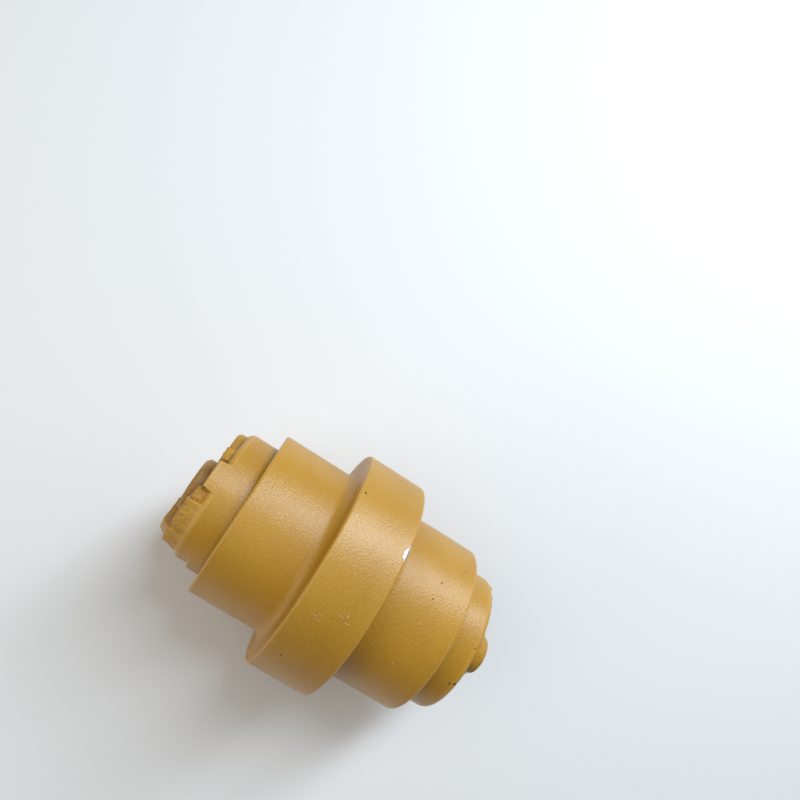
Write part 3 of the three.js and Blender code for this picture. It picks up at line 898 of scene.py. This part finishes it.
@dataclass(frozen=True)
class FaceSeal:
    """One end's face seal: a turning and a still metal ring, each on its own rubber ring."""

    end: End
    running_face: float = 72.0
    bore: float = 34.2
    rim: float = 44.4
    body: float = 37.6
    rim_thick: float = 2.6
    half_width: float = 8.6
    rubber_at: float = 40.5
    rubber_from_face: float = 6.5
    rubber_radius: float = 2.5

    def build(self) -> None:
        """Makes the four rings: the metal ones by turning an L, and the rubber ones as toruses."""
        for word, side, body in (("turning", -1, "roller"), ("still", 1, f"collar_{self.end.word}")):
            corners = [
                (self.bore, 0.15, 0.3),
                (self.rim, 0.15, 0.3),
                (self.rim, self.rim_thick, 0.5),
                (self.body, self.rim_thick + 0.6, 1.4),
                (self.body, self.half_width, 0.4),
                (self.bore, self.half_width, 0.3),
            ]
            place = np.array([0.0, self.running_face]) * (1, self.end.value)
            flip = np.array([1.0, side * self.end.value])
            outline = filleted(corners, steps=4) * flip + place
            where = f"{word}_{self.end.word}"
            ring = turned_piece(f"face_seal_{where}", outline)
            dress(ring, LAPPED_IRON, body, "seal_steel", f"seal_ring_{where}")
            at = (self.rubber_at, self.rubber_from_face)
            section = (circle(20) * self.rubber_radius + at) * flip + place
            rubber = turned_piece(f"seal_toric_{where}", section)
            dress(rubber, RUBBER, body, "rubber", f"seal_rubber_{where}")


@dataclass(frozen=True)
class Spindle:
    """The still shaft with its cords, its retaining rings and the oil plug in its left end."""

    radius: float = 23.0
    spigot: float = 20.4
    shoulder: float = 87.7
    spigot_end: float = 119.3
    spigot_edge: float = 2.2
    cord_at: float = 75.55
    cord_half: float = 2.1
    cord_groove: float = 20.1
    ring_at: float = 100.0
    ring_slot: float = 2.35
    ring_groove: float = 18.7
    oil_bore: float = 4.0
    oil_end: float = 6.0
    plug_bore: float = 7.0
    plug_depth: float = 17.0
    drill_depth: float = 6.0
    clip_inner: float = 19.0
    clip_outer: float = 22.4
    clip_start: float = 100.3
    clip_stop: float = 102.05
    clip_round: float = 0.35
    plug_radius: float = 6.7
    plug_head: float = -115.3
    plug_foot: float = -106.3
    hexagon: float = 4.0

    def half(self) -> list[Point]:
        """The corners of the shaft's outside at its right end, from the middle outwards."""
        return [
            (self.radius, self.cord_at - self.cord_half, 0.2),
            (self.cord_groove, self.cord_at - self.cord_half, 0.3),
            (self.cord_groove, self.cord_at + self.cord_half, 0.3),
            (self.radius, self.cord_at + self.cord_half, 0.2),
            (self.radius, self.shoulder, 0.6),
            (self.spigot, self.shoulder, 0.4),
            (self.spigot, self.ring_at, 0.15),
            (self.ring_groove, self.ring_at, 0.2),
            (self.ring_groove, self.ring_at + self.ring_slot, 0.2),
            (self.spigot, self.ring_at + self.ring_slot, 0.15),
            (self.spigot, self.spigot_end - self.spigot_edge, 0.7),
            (self.spigot - self.spigot_edge, self.spigot_end, 0.6),
        ]

    def build(self) -> None:
        """Makes the shaft from one outline, from the centre drill over its outside into the oil bore."""
        face = self.spigot_end
        floor = self.plug_depth - face
        outline = filleted(
            [
                (0.0, face - self.drill_depth, 0.0),
                (self.oil_bore - 0.4, face - 1.3, 0.3),
                (self.oil_bore + 0.6, face, 0.3),
                *reversed(self.half()),
                *[(r, -y, fillet) for r, y, fillet in self.half()],
                (self.plug_bore, -face, 0.5),
                (self.plug_bore, floor, 0.3),
                (self.oil_bore, floor, 0.3),
                (self.oil_bore, self.oil_end, 0.3),
                (0.0, self.oil_end + 1.5, 0.0),
            ],
            closed=False,
            steps=4,
        )
        theta = angles(ROUND_SMALL)
        # Grime with painted shade in the centre drill, the oil and plug bores and the ring grooves.
        in_hole = (outline[:, 0] < self.oil_bore + 0.5) & (outline[:, 1] > 0)
        in_bore = (outline[:, 0] < self.plug_bore + 0.2) & (outline[:, 1] < self.oil_end + 2)
        in_slot = (np.abs(np.abs(outline[:, 1]) - 101.2) < 2.6) & (outline[:, 0] > 18)
        gap = (in_hole | in_bore | in_slot).astype(float)[:, None] * np.ones_like(theta)
        shaft = piece_from_grid("spindle_shaft", turned(outline, theta), tube=False, marks={Skin.GAP: gap})
        dress(shaft, GROUND_SHAFT, "spindle", "shaft_steel", "shaft")
        for end in End:
            self.cord(end)
            self.retaining_ring(end)
        self.plug()

    def cord(self, end: End) -> None:
        """Makes one shaft cord: a superellipse (cos t)^(2/3), (sin t)^(2/3) turned about the axis."""
        bend = circle(24)
        section = np.sign(bend) * np.abs(bend) ** (2 / 3) * (1.3, 1.8) + (21.7, self.cord_at)
        piece = turned_piece(f"shaft_seal_cord_{end.word}", section * (1, end.value))
        dress(piece, RUBBER, "spindle", "rubber", f"shaft_cord_{end.word}")

    def retaining_ring(self, end: End) -> None:
        """Makes one open spring ring.

        A rounded rectangle is carried round an arc, and near the arc's two ends it shrinks towards its
        middle by sqrt(1 - s^2), which rounds them.
        """
        corners = [
            (self.clip_inner, self.clip_start, self.clip_round),
            (self.clip_outer, self.clip_start, self.clip_round),
            (self.clip_outer, self.clip_stop, self.clip_round),
            (self.clip_inner, self.clip_stop, self.clip_round),
        ]
        section = filleted(corners, steps=3) * (1, end.value)
        middle = section.mean(axis=0)
        tip = np.linspace(0.985, 1, 7)
        along = np.concatenate([-tip[::-1], np.linspace(-0.97, 0.97, 120), tip])
        share = np.clip((np.abs(along) - tip[0]) / (1 - tip[0]), 0, 1)
        size = np.sqrt(1 - share**2)[:, None, None]
        outline = middle + (section - middle) * size
        theta = np.radians(157 * along)[:, None]
        # Painted shade: the whole ring is darkened a little where it sits in its groove.
        piece = piece_from_grid(
            f"spring_ring_{end.word}",
            polar(outline[..., 0], outline[..., 1], theta),
            tube=False,
            marks={Skin.GAP: np.full(outline.shape[:2], 0.35)},
        )
        dress(piece, SPRING_STEEL, "spindle", "dark_steel", f"retaining_ring_{end.word}")

    def plug(self) -> None:
        """Makes the oil plug and its cord.

        Each row's radius is a blend between a circle and a hexagon, whose radius is its half-width divided
        by the cosine of the angle from the nearest flat's middle.
        """
        theta = angles(ROUND_SMALL)
        head, foot, wide = self.plug_head, self.plug_foot, self.plug_radius
        hexagon = self.hexagon / np.cos((theta + np.pi / 6) % (np.pi / 3) - np.pi / 6)
        rows = np.array(
            [
                (0.0, 0.0, head + 4.0),
                (0.0, 0.96, head + 4.0),
                (0.0, 1.0, head + 3.8),
                (0.0, 1.0, head + 0.5),
                (0.0, 1.06, head + 0.08),
                (0.35, 1.04, head),
                (5.9, 0.0, head),
                (6.2, 0.0, head),
                (wide - 0.1, 0.0, head + 0.3),
                (wide, 0.0, head + 0.7),
                (wide, 0.0, head + 4.55),
                (wide - 0.1, 0.0, head + 4.7),
                (4.5, 0.0, head + 4.72),
                (4.4, 0.0, head + 4.9),
                (4.4, 0.0, head + 7.1),
                (4.5, 0.0, head + 7.28),
                (wide - 0.1, 0.0, head + 7.3),
                (wide, 0.0, head + 7.45),
                (wide, 0.0, foot - 0.8),
                (wide - 0.5, 0.0, foot - 0.1),
                (5.8, 0.0, foot),
                (0.0, 0.0, foot),
            ]
        )
        radius = rows[:, :1] + rows[:, 1:2] * hexagon
        height = rows[:, 2:] + 0 * theta
        # Painted shade in the hexagon socket.
        gap = 0.5 * (rows[:, 1:2] > 0.5) + 0 * theta
        grid = polar(radius, height, theta)
        plug = piece_from_grid("hexagon_oil_plug", grid, tube=False, marks={Skin.GAP: gap})
        dress(plug, SPRING_STEEL, "spindle", "dark_steel", "oil_plug")
        section = circle(16) + (5.7, head + 6.0)
        cord = turned_piece("oil_plug_toric", section)
        dress(cord, RUBBER, "spindle", "rubber", "oil_plug_cord")


# The tooth's outline across it in millimetres: foot, flank, the tooth's top, its lower step, foot
TOOTH_KNOTS = (-27.6, -25.4, -11.4, 11.1, 12.3, 25.7, 27.2)
TOOTH_HEIGHTS = (-8, 5, 20.3, 20.3, 11, 11, -8)


@dataclass(frozen=True)
class Wall:
    """A wall beside a collar's rim: two angles from the boss, a height, a set-in and a roughness."""

    start: float
    stop: float
    top: float
    set_in: float
    rough: float = 1.0


@dataclass(frozen=True)
class EndCollar:
    """An end collar: a turned skirt whose end face carries cast relief.

    Angles in the relief run from its bolt boss.
    """

    end: End
    turn: float
    tooth_middle: float
    walls: tuple[Wall, ...]
    radius: float = 50.6
    skirt_end: float = 74.6
    face: float = 104.3
    face_edge: float = 4.4
    hub_end: float = 63.4
    hub_radius: float = 32.6
    cavity_floor: float = 84.0
    seat_foot: float = 41.71
    seat_mouth: float = 45.0
    shaft_bore: float = 23.3
    spigot_bore: float = 20.7
    web_inside: float = 88.0
    recess: float = 23.7
    recess_floor: float = 100.0
    rib_outer: float = 28.7
    rib_height: float = 6.6
    boss_at: float = 34.5
    boss_radius: float = 13.5
    boss_height: float = 7.5
    boss_edge: float = 3.6
    hole_mouth: float = 8.8
    hole_depth: float = 24.0
    tooth_inner: float = 38.6
    tooth_edge: float = 1.5
    rib_blend: float = 1.5
    cast_blend: float = 1.0
    flat_at: float = 46.6
    flat_from: float = 91.0

    def columns(self) -> np.ndarray:
        """The columns' angles from the boss, in degrees: closer together where the relief stands."""
        fine = np.linspace(-180, 180, 2881)
        busy = ((fine > -166) & (fine < 24)) | ((fine > 50) & (fine < 164))
        dense = np.where(busy, 1.0, 0.45)
        total = np.concatenate([[0], np.cumsum((dense[1:] + dense[:-1]) / 2)])
        return np.interp(np.linspace(0, total[-1], 649)[:-1], total, fine)

    def outer(self, psi: np.ndarray) -> np.ndarray:
        """The collar's outer radius near its face, cut to flat / cos(angle from the flat) at the seat."""
        off = np.radians((psi + 360) % 360 - 180)
        flat = self.flat_at / np.maximum(np.cos(off), 0.2)
        return np.minimum(self.radius, flat)

    def edge(self, top: float | np.ndarray, inset: np.ndarray, fillet: float) -> np.ndarray:
        """A height that falls round a quarter circle, top - f + sqrt(f^2 - (f - inset)^2), at a rim."""
        short = np.clip(fillet - inset, 0, fillet)
        return top - fillet + np.sqrt(fillet**2 - short**2)

    def flank(self, inside: np.ndarray, top: float | np.ndarray, run: float = 1.5) -> np.ndarray:
        """A wall's height from its foot below the face up to its top, over a run across its side."""
        foot = -6.0
        rise = foot + (top - foot) * np.clip(inside / run + 0.5, -1, 3)
        return softer_least(rise, top + 0 * rise, 1.6)

    def relief(self, r: np.ndarray, psi: np.ndarray) -> tuple[np.ndarray, np.ndarray]:
        """The end face's relief.

        Each wall's height comes from how far a point lies inside its sides. The walls, the boss and the
        face are joined by the softened greater of their heights.

        Args:
            r: radii in millimetres.
            psi: angles from the boss in degrees, from -180 to 180.

        Returns:
            The heights above the face, and how rough the casting is there, from 0 to 1.
        """
        inset = self.outer(psi) - r
        turn = np.radians(psi)
        apart = 9.0 * self.end.value
        place = np.stack([r * np.sin(turn), 0 * r + apart, r * np.cos(turn)], -1)
        lumps = lattice_noise(place, 7.0, 3) + 0.6 * lattice_noise(place, 3.2, 5)

        def between(start: float, stop: float) -> np.ndarray:
            """How far a point lies inside two radial sides."""
            return np.minimum(r * np.radians(psi - start), r * np.radians(stop - psi))

        def raised(wall: Wall) -> np.ndarray:
            """A wall that follows the rim, set in from it or flush with it."""
            side = softer_least(between(wall.start, wall.stop), r - self.rib_outer + 2.0, 0.8)
            side = side + wall.rough * 0.8 * lumps
            if not wall.set_in:
                return softer_least(self.flank(side, wall.top), self.edge(wall.top, inset, 1.2), 0.5)
            side = softer_least(side, self.radius - wall.set_in - r + wall.rough * 0.7 * lumps, 1.0)
            return self.flank(side, wall.top) + wall.rough * 0.7 * lumps

        height = np.minimum(self.edge(0.0, inset, self.face_edge), self.edge(0.0, r - self.recess, 0.7))
        rib_side = softer_least(self.rib_outer - r, between(-90.0, 180.0), 0.8)
        rib = softer_least(
            self.flank(rib_side, self.rib_height), self.edge(self.rib_height, r - self.recess, 0.9), 0.4
        )
        tangent = r * np.sin(np.radians(psi - self.tooth_middle))
        ahead = r * np.cos(np.radians(psi - self.tooth_middle))
        tooth_top = blurred_steps(tangent, TOOTH_KNOTS, TOOTH_HEIGHTS, 0.45)
        tooth = softer_least(tooth_top, self.edge(tooth_top, inset, self.tooth_edge), 0.3)
        tooth_side = np.minimum(r - self.tooth_inner + 0.3 * lumps, ahead - self.radius / 4)
        tooth = softer_least(tooth, self.flank(tooth_side, max(TOOTH_HEIGHTS)), 1.4)
        smooth_walls = [raised(wall) for wall in self.walls if not wall.rough]
        rough_walls = [raised(wall) for wall in self.walls if wall.rough]
        across = np.hypot(place[..., 0], place[..., 2] - self.boss_at)
        boss_side = self.boss_radius - across
        boss_top = self.edge(self.boss_height, boss_side, self.boss_edge)
        boss = softer_least(self.flank(boss_side, self.boss_height, 1.2), boss_top, 0.3)
        smooth = height
        for feature in (rib, *smooth_walls, tooth, boss):
            smooth = softer_most(smooth, feature, self.rib_blend)
        height = smooth
        for feature in rough_walls:
            height = softer_most(height, feature, self.cast_blend)
        rough = smoothstep(height - smooth, 0.2, 1.2)
        beside_hole = smoothstep(across, 9.2, 11.5)
        raised_cast = 0.45 * smoothstep(smooth, 1.0, 4.0) * beside_hole
        face_cast = 0.35 * smoothstep(inset, 1.5, 5.0) * beside_hole
        cast = np.maximum(np.maximum(rough, raised_cast), face_cast)
        grain = 0.32 * lattice_noise(place, 1.7, 11) + 0.16 * lattice_noise(place, 0.9, 13)
        sanded = height + grain * cast * smoothstep(inset, 0.0, 1.0)
        return np.minimum(sanded, max(TOOTH_HEIGHTS) - 0.05), cast

    def drilled(
        self, x: np.ndarray, y: np.ndarray, z: np.ndarray
    ) -> tuple[np.ndarray, np.ndarray, np.ndarray]:
        """Opens the bolt hole in the boss.

        Points within a narrow band of the hole's edge move radially onto it, and those inside it sink to
        its floor, so the edge is a true circle.
        """
        off = z - self.boss_at
        across = np.maximum(np.hypot(x, off), 1e-6)
        sunk = across <= self.hole_mouth - 0.27
        on_edge = ~sunk & (across < self.hole_mouth + 0.29)
        wanted = np.where(on_edge, self.hole_mouth, np.where(sunk, across * 0.965, across))
        top = self.face + self.boss_height
        level = np.where(on_edge, top, np.where(sunk, top - self.hole_depth - 0.4, y))
        return x * wanted / across, level, self.boss_at + off * wanted / across

    def build(self) -> None:
        """Makes the collar as one closed surface: cavity and skirt, outside, relief, then bore."""
        psi = self.columns()
        ring = np.ones_like(psi)
        cavity = filleted(
            [
                (self.shaft_bore, 70.0, 0.0),
                (self.shaft_bore, self.hub_end, 0.5),
                (self.hub_radius, self.hub_end, 0.5),
                (self.hub_radius, self.cavity_floor, 0.9),
                (self.seat_foot, self.cavity_floor, 0.9),
                (self.seat_mouth, self.skirt_end, 0.3),
                (self.radius, self.skirt_end, 0.6),
                (self.radius, self.flat_from - 0.25, 0.0),
            ],
            closed=False,
            steps=3,
        )
        bore = filleted(
            [
                (self.recess, 102.6, 0.0),
                (self.recess, self.recess_floor, 0.4),
                (self.spigot_bore, self.recess_floor, 0.3),
                (self.spigot_bore, self.web_inside, 0.2),
                (self.shaft_bore, self.web_inside, 0.2),
                (self.shaft_bore, 70.4, 0.0),
            ],
            closed=False,
            steps=3,
        )
        outer = self.outer(psi)
        rim_inset = self.face_edge * (1 - np.cos(np.linspace(0, np.pi / 2, 11)))[:, None]
        span = outer - self.recess
        spread = np.linspace(0, 1, 63)[1:, None]
        inset = np.concatenate([rim_inset * ring, self.face_edge + spread * (span - self.face_edge)])
        top_radius = outer - inset
        height, cast = self.relief(top_radius, psi * np.ones_like(top_radius))
        top_height = self.face + height
        climb = np.array([0.0, 0.35, 0.7, 0.93])[:, None]
        side_height = self.flat_from + 0.25 + climb * (top_height[0] - self.flat_from - 0.25)
        inside, within = cavity[..., None] * ring, bore[..., None] * ring
        side_radius = outer * np.ones_like(climb)
        radius = np.concatenate([inside[:, 0], side_radius, top_radius, within[:, 0]])
        level = np.concatenate([inside[:, 1], side_height, top_height, within[:, 1]])
        turn = np.radians(psi)
        x, z = radius * np.sin(turn), radius * np.cos(turn)
        first = len(cavity) + len(climb)
        relief_rows = slice(first, first + len(top_radius))
        drilled = self.drilled(x[relief_rows], level[relief_rows], z[relief_rows])
        x[relief_rows], level[relief_rows], z[relief_rows] = drilled
        rough = np.zeros_like(radius)
        rough[relief_rows] = cast
        # Grime with painted shade in the cavity, the bore, the low face near the rim and round the recess.
        gap = np.ones_like(radius)
        gap[len(cavity) - 8 : relief_rows.start] = 0.0
        low = smoothstep(-height, -2.2, -0.2) * smoothstep(inset, 3.5, 6.0)
        gap[relief_rows] = 0.5 * low + 0.4 * smoothstep(-top_radius, -self.recess - 1.2, -self.recess)
        # A painted highlight along the face's rim.
        rim = np.zeros_like(radius)
        rim[relief_rows] = smoothstep(-inset, -2.2, -0.2)
        grid = self.placed(x, level, z)
        marks = {Skin.CAST: rough, Skin.GAP: gap, Skin.RIM: rim}
        word = self.end.word
        collar = piece_from_grid(f"relief_collar_{word}", grid, marks=marks)
        dress(collar, COLLAR_PAINT, f"collar_{word}", "collar_paint", f"end_collar_{word}")
        self.thread()

    def placed(self, x: np.ndarray, y: np.ndarray, z: np.ndarray) -> np.ndarray:
        """Points of an upright right collar, turned about Y and mirrored for the left end."""
        c, s = np.cos(np.radians(self.turn)), np.sin(np.radians(self.turn))
        return np.stack([x * c + z * s, y * self.end.value, z * c - x * s], axis=-1)

    def thread(self) -> None:
        """Makes the tapped lining of the bolt hole.

        Its bore's radius is the core's plus a triangle wave of (depth / pitch - angle / 360): a helix.
        """
        phi = angles(64)
        top = self.face + self.boss_height
        pitch, core, root, wall = 2.0, 7.0, 8.0, 8.3
        depth = np.concatenate([[0.12, 0.5, 1.2, 1.8], np.arange(2.0, 21.0, 0.25), [21.2, 23.9]])[:, None]
        wave = (depth / pitch - phi / (2 * np.pi)) % 1
        ridge = np.clip(2.4 * np.abs(2 * wave - 1) - 0.7, 0, 1)
        chamfer = np.clip(self.hole_mouth - 0.1 - depth, core, None)
        threaded = smoothstep(depth, 0.6, 2.2) * smoothstep(-depth, -20.9, -19.5)
        inner = np.maximum(chamfer, core + (root - core) * ridge * threaded)
        foot, lip = self.hole_depth, self.hole_mouth - 0.02
        before = [(0.0, foot + 0.38), (wall, foot + 0.35), (wall, 1.4), (lip, 0.7), (lip, 0.14)]
        outside = np.array(before)[..., None] * np.ones_like(phi)
        floor = np.array([(0.0, foot + 0.3)])[..., None] * np.ones_like(phi)
        radius = np.concatenate([outside[:, 0], inner, floor[:, 0]])
        below = np.concatenate([outside[:, 1], depth + 0 * phi, floor[:, 1]])
        grid = self.placed(radius * np.sin(phi), top - below, self.boss_at + radius * np.cos(phi))
        # Grime with painted shade, darker deeper down the bolt hole.
        gap = 0.35 + 0.6 * smoothstep(below, 2.0, 12.0)
        piece = piece_from_grid(f"bolt_thread_{self.end.word}", grid, tube=False, marks={Skin.GAP: gap})
        dress(piece, SPRING_STEEL, f"collar_{self.end.word}", "dark_steel")


RIGHT_WALLS = (
    Wall(-102.0, -82.0, 9.2, 8.2),
    Wall(97.0, 106.0, 7.7, 12.6),
    Wall(104.0, 158.0, 12.0, 2.1),
)
LEFT_WALLS = (
    Wall(-87.0, -58.0, 9.2, 4.4),
    Wall(56.0, 70.0, 6.5, 4.4),
    Wall(75.0, 99.0, 5.2, 0.0, 0.0),
    Wall(98.0, 112.0, 7.4, 4.4),
    Wall(111.0, 158.0, 9.2, 1.5),
)
COLLARS = (
    EndCollar(End.RIGHT, 0.0, -132.0, RIGHT_WALLS),
    EndCollar(End.LEFT, -100.0, -117.0, LEFT_WALLS),
)


# ---------------------------------------------------------------- the studio


@dataclass(frozen=True)
class Panel:
    """A soft light: place and two sizes in metres, power in watts, colour, and roll in degrees."""

    name: str
    place: Point
    wide: float
    high: float
    watts: float
    colour: Colour
    roll: float = 0.0

    def hang(self) -> None:
        """Hangs the light, facing the roller."""
        light = bpy.data.lights.new(self.name, "AREA")
        light.shape, light.size, light.size_y = "RECTANGLE", self.wide, self.high
        light.energy, light.color = self.watts, self.colour
        holder = bpy.data.objects.new(self.name, light)
        holder.location = self.place
        aim = Vector(self.place).to_track_quat("Z", "Y")
        holder.rotation_euler = (aim @ Quaternion((0, 0, 1), np.radians(self.roll))).to_euler()
        holder.visible_camera = False
        bpy.context.scene.collection.objects.link(holder)


@dataclass(frozen=True)
class Studio:
    """A pale floor under the flange, soft panels, and the camera."""

    floor_height: float = -82.5 * MM
    lens: float = 29.7
    camera_place: Point = (0.0, -0.080177, 0.490037)
    camera_right: Point = (-0.50234, 0.83309, 0.23157)
    camera_up: Point = (-0.82453, -0.54217, 0.16188)
    camera_back: Point = (0.26041, -0.10962, 0.95925)
    ambient: float = 0.10
    backdrop: float = 0.80
    panels: tuple[Panel, ...] = (
        Panel("window", (-0.93, 0.20, 1.11), 0.30, 1.25, 19.0, (0.78, 0.89, 1.0), -25.0),
        Panel("white_wall", (-1.25, 1.15, 0.80), 1.6, 1.2, 7.0, (0.92, 0.95, 1.0)),
        Panel("ceiling", (0.1, -0.9, 2.1), 2.4, 2.4, 18.0, (1.0, 0.96, 0.90)),
        Panel("near_fill", (0.50, -0.70, 0.40), 0.5, 0.5, 1.4, (1.0, 0.95, 0.88)),
    )

    def build(self) -> None:
        """Lays the floor, lights the room and sets the camera."""
        self.floor()
        self.room()
        for panel in self.panels:
            panel.hang()
        self.camera()

    def floor(self) -> None:
        """Lays a wide square of pale floor."""
        reach = 6.0
        corners = [(-reach, -reach), (reach, -reach), (reach, reach), (-reach, reach)]
        mesh = bpy.data.meshes.new("studio_floor")
        mesh.from_pydata([(x, y, self.floor_height) for x, y in corners], [], [(0, 1, 2, 3)])
        floor = bpy.data.objects.new("studio_floor", mesh)
        bpy.context.scene.collection.objects.link(floor)
        material = bpy.data.materials.new("pale_floor")
        material.use_nodes = True
        shader = material.node_tree.nodes["Principled BSDF"]
        shader.inputs["Base Color"].default_value = (0.86, 0.855, 0.845, 1.0)
        shader.inputs["Roughness"].default_value = 0.75
        mesh.materials.append(material)

    def room(self) -> None:
        """Fills the room with dim even light, behind which a paler wall is seen."""
        world = bpy.data.worlds.new("pale_room")
        world.use_nodes = True
        desk = Desk(world.node_tree)
        seen = desk.node("LightPath").outputs["Is Camera Ray"]
        background = world.node_tree.nodes["Background"]
        background.inputs["Color"].default_value = (1.0, 0.985, 0.96, 1.0)
        glow = desk.times(seen, self.backdrop - self.ambient)
        desk.feed(background.inputs["Strength"], desk.plus(glow, self.ambient))
        bpy.context.scene.world = world
        bpy.context.scene.view_settings.view_transform = "Standard"

    def camera(self) -> None:
        """Sets the camera by its three axes and its place."""
        data = bpy.data.cameras.new("camera")
        data.lens, data.sensor_width, data.clip_start = self.lens, 36.0, 0.01
        holder = bpy.data.objects.new("camera", data)
        axes = Matrix([self.camera_right, self.camera_up, self.camera_back]).transposed()
        holder.matrix_world = Matrix.Translation(self.camera_place) @ axes.to_4x4()
        bpy.context.scene.collection.objects.link(holder)
        bpy.context.scene.camera = holder


def main() -> None:
    """Builds the roller round its frame, then the studio."""
    logging.basicConfig(level=logging.INFO, format="%(name)s: %(message)s")
    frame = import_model()
    LOG.info("frame with %d nodes", len(frame["nodes"]))
    Studio().build()
    RollingShell().build()
    Spindle().build()
    for end in End:
        FaceSeal(end).build()
    for collar in COLLARS:
        collar.build()


if __name__ == "__main__":
    main()
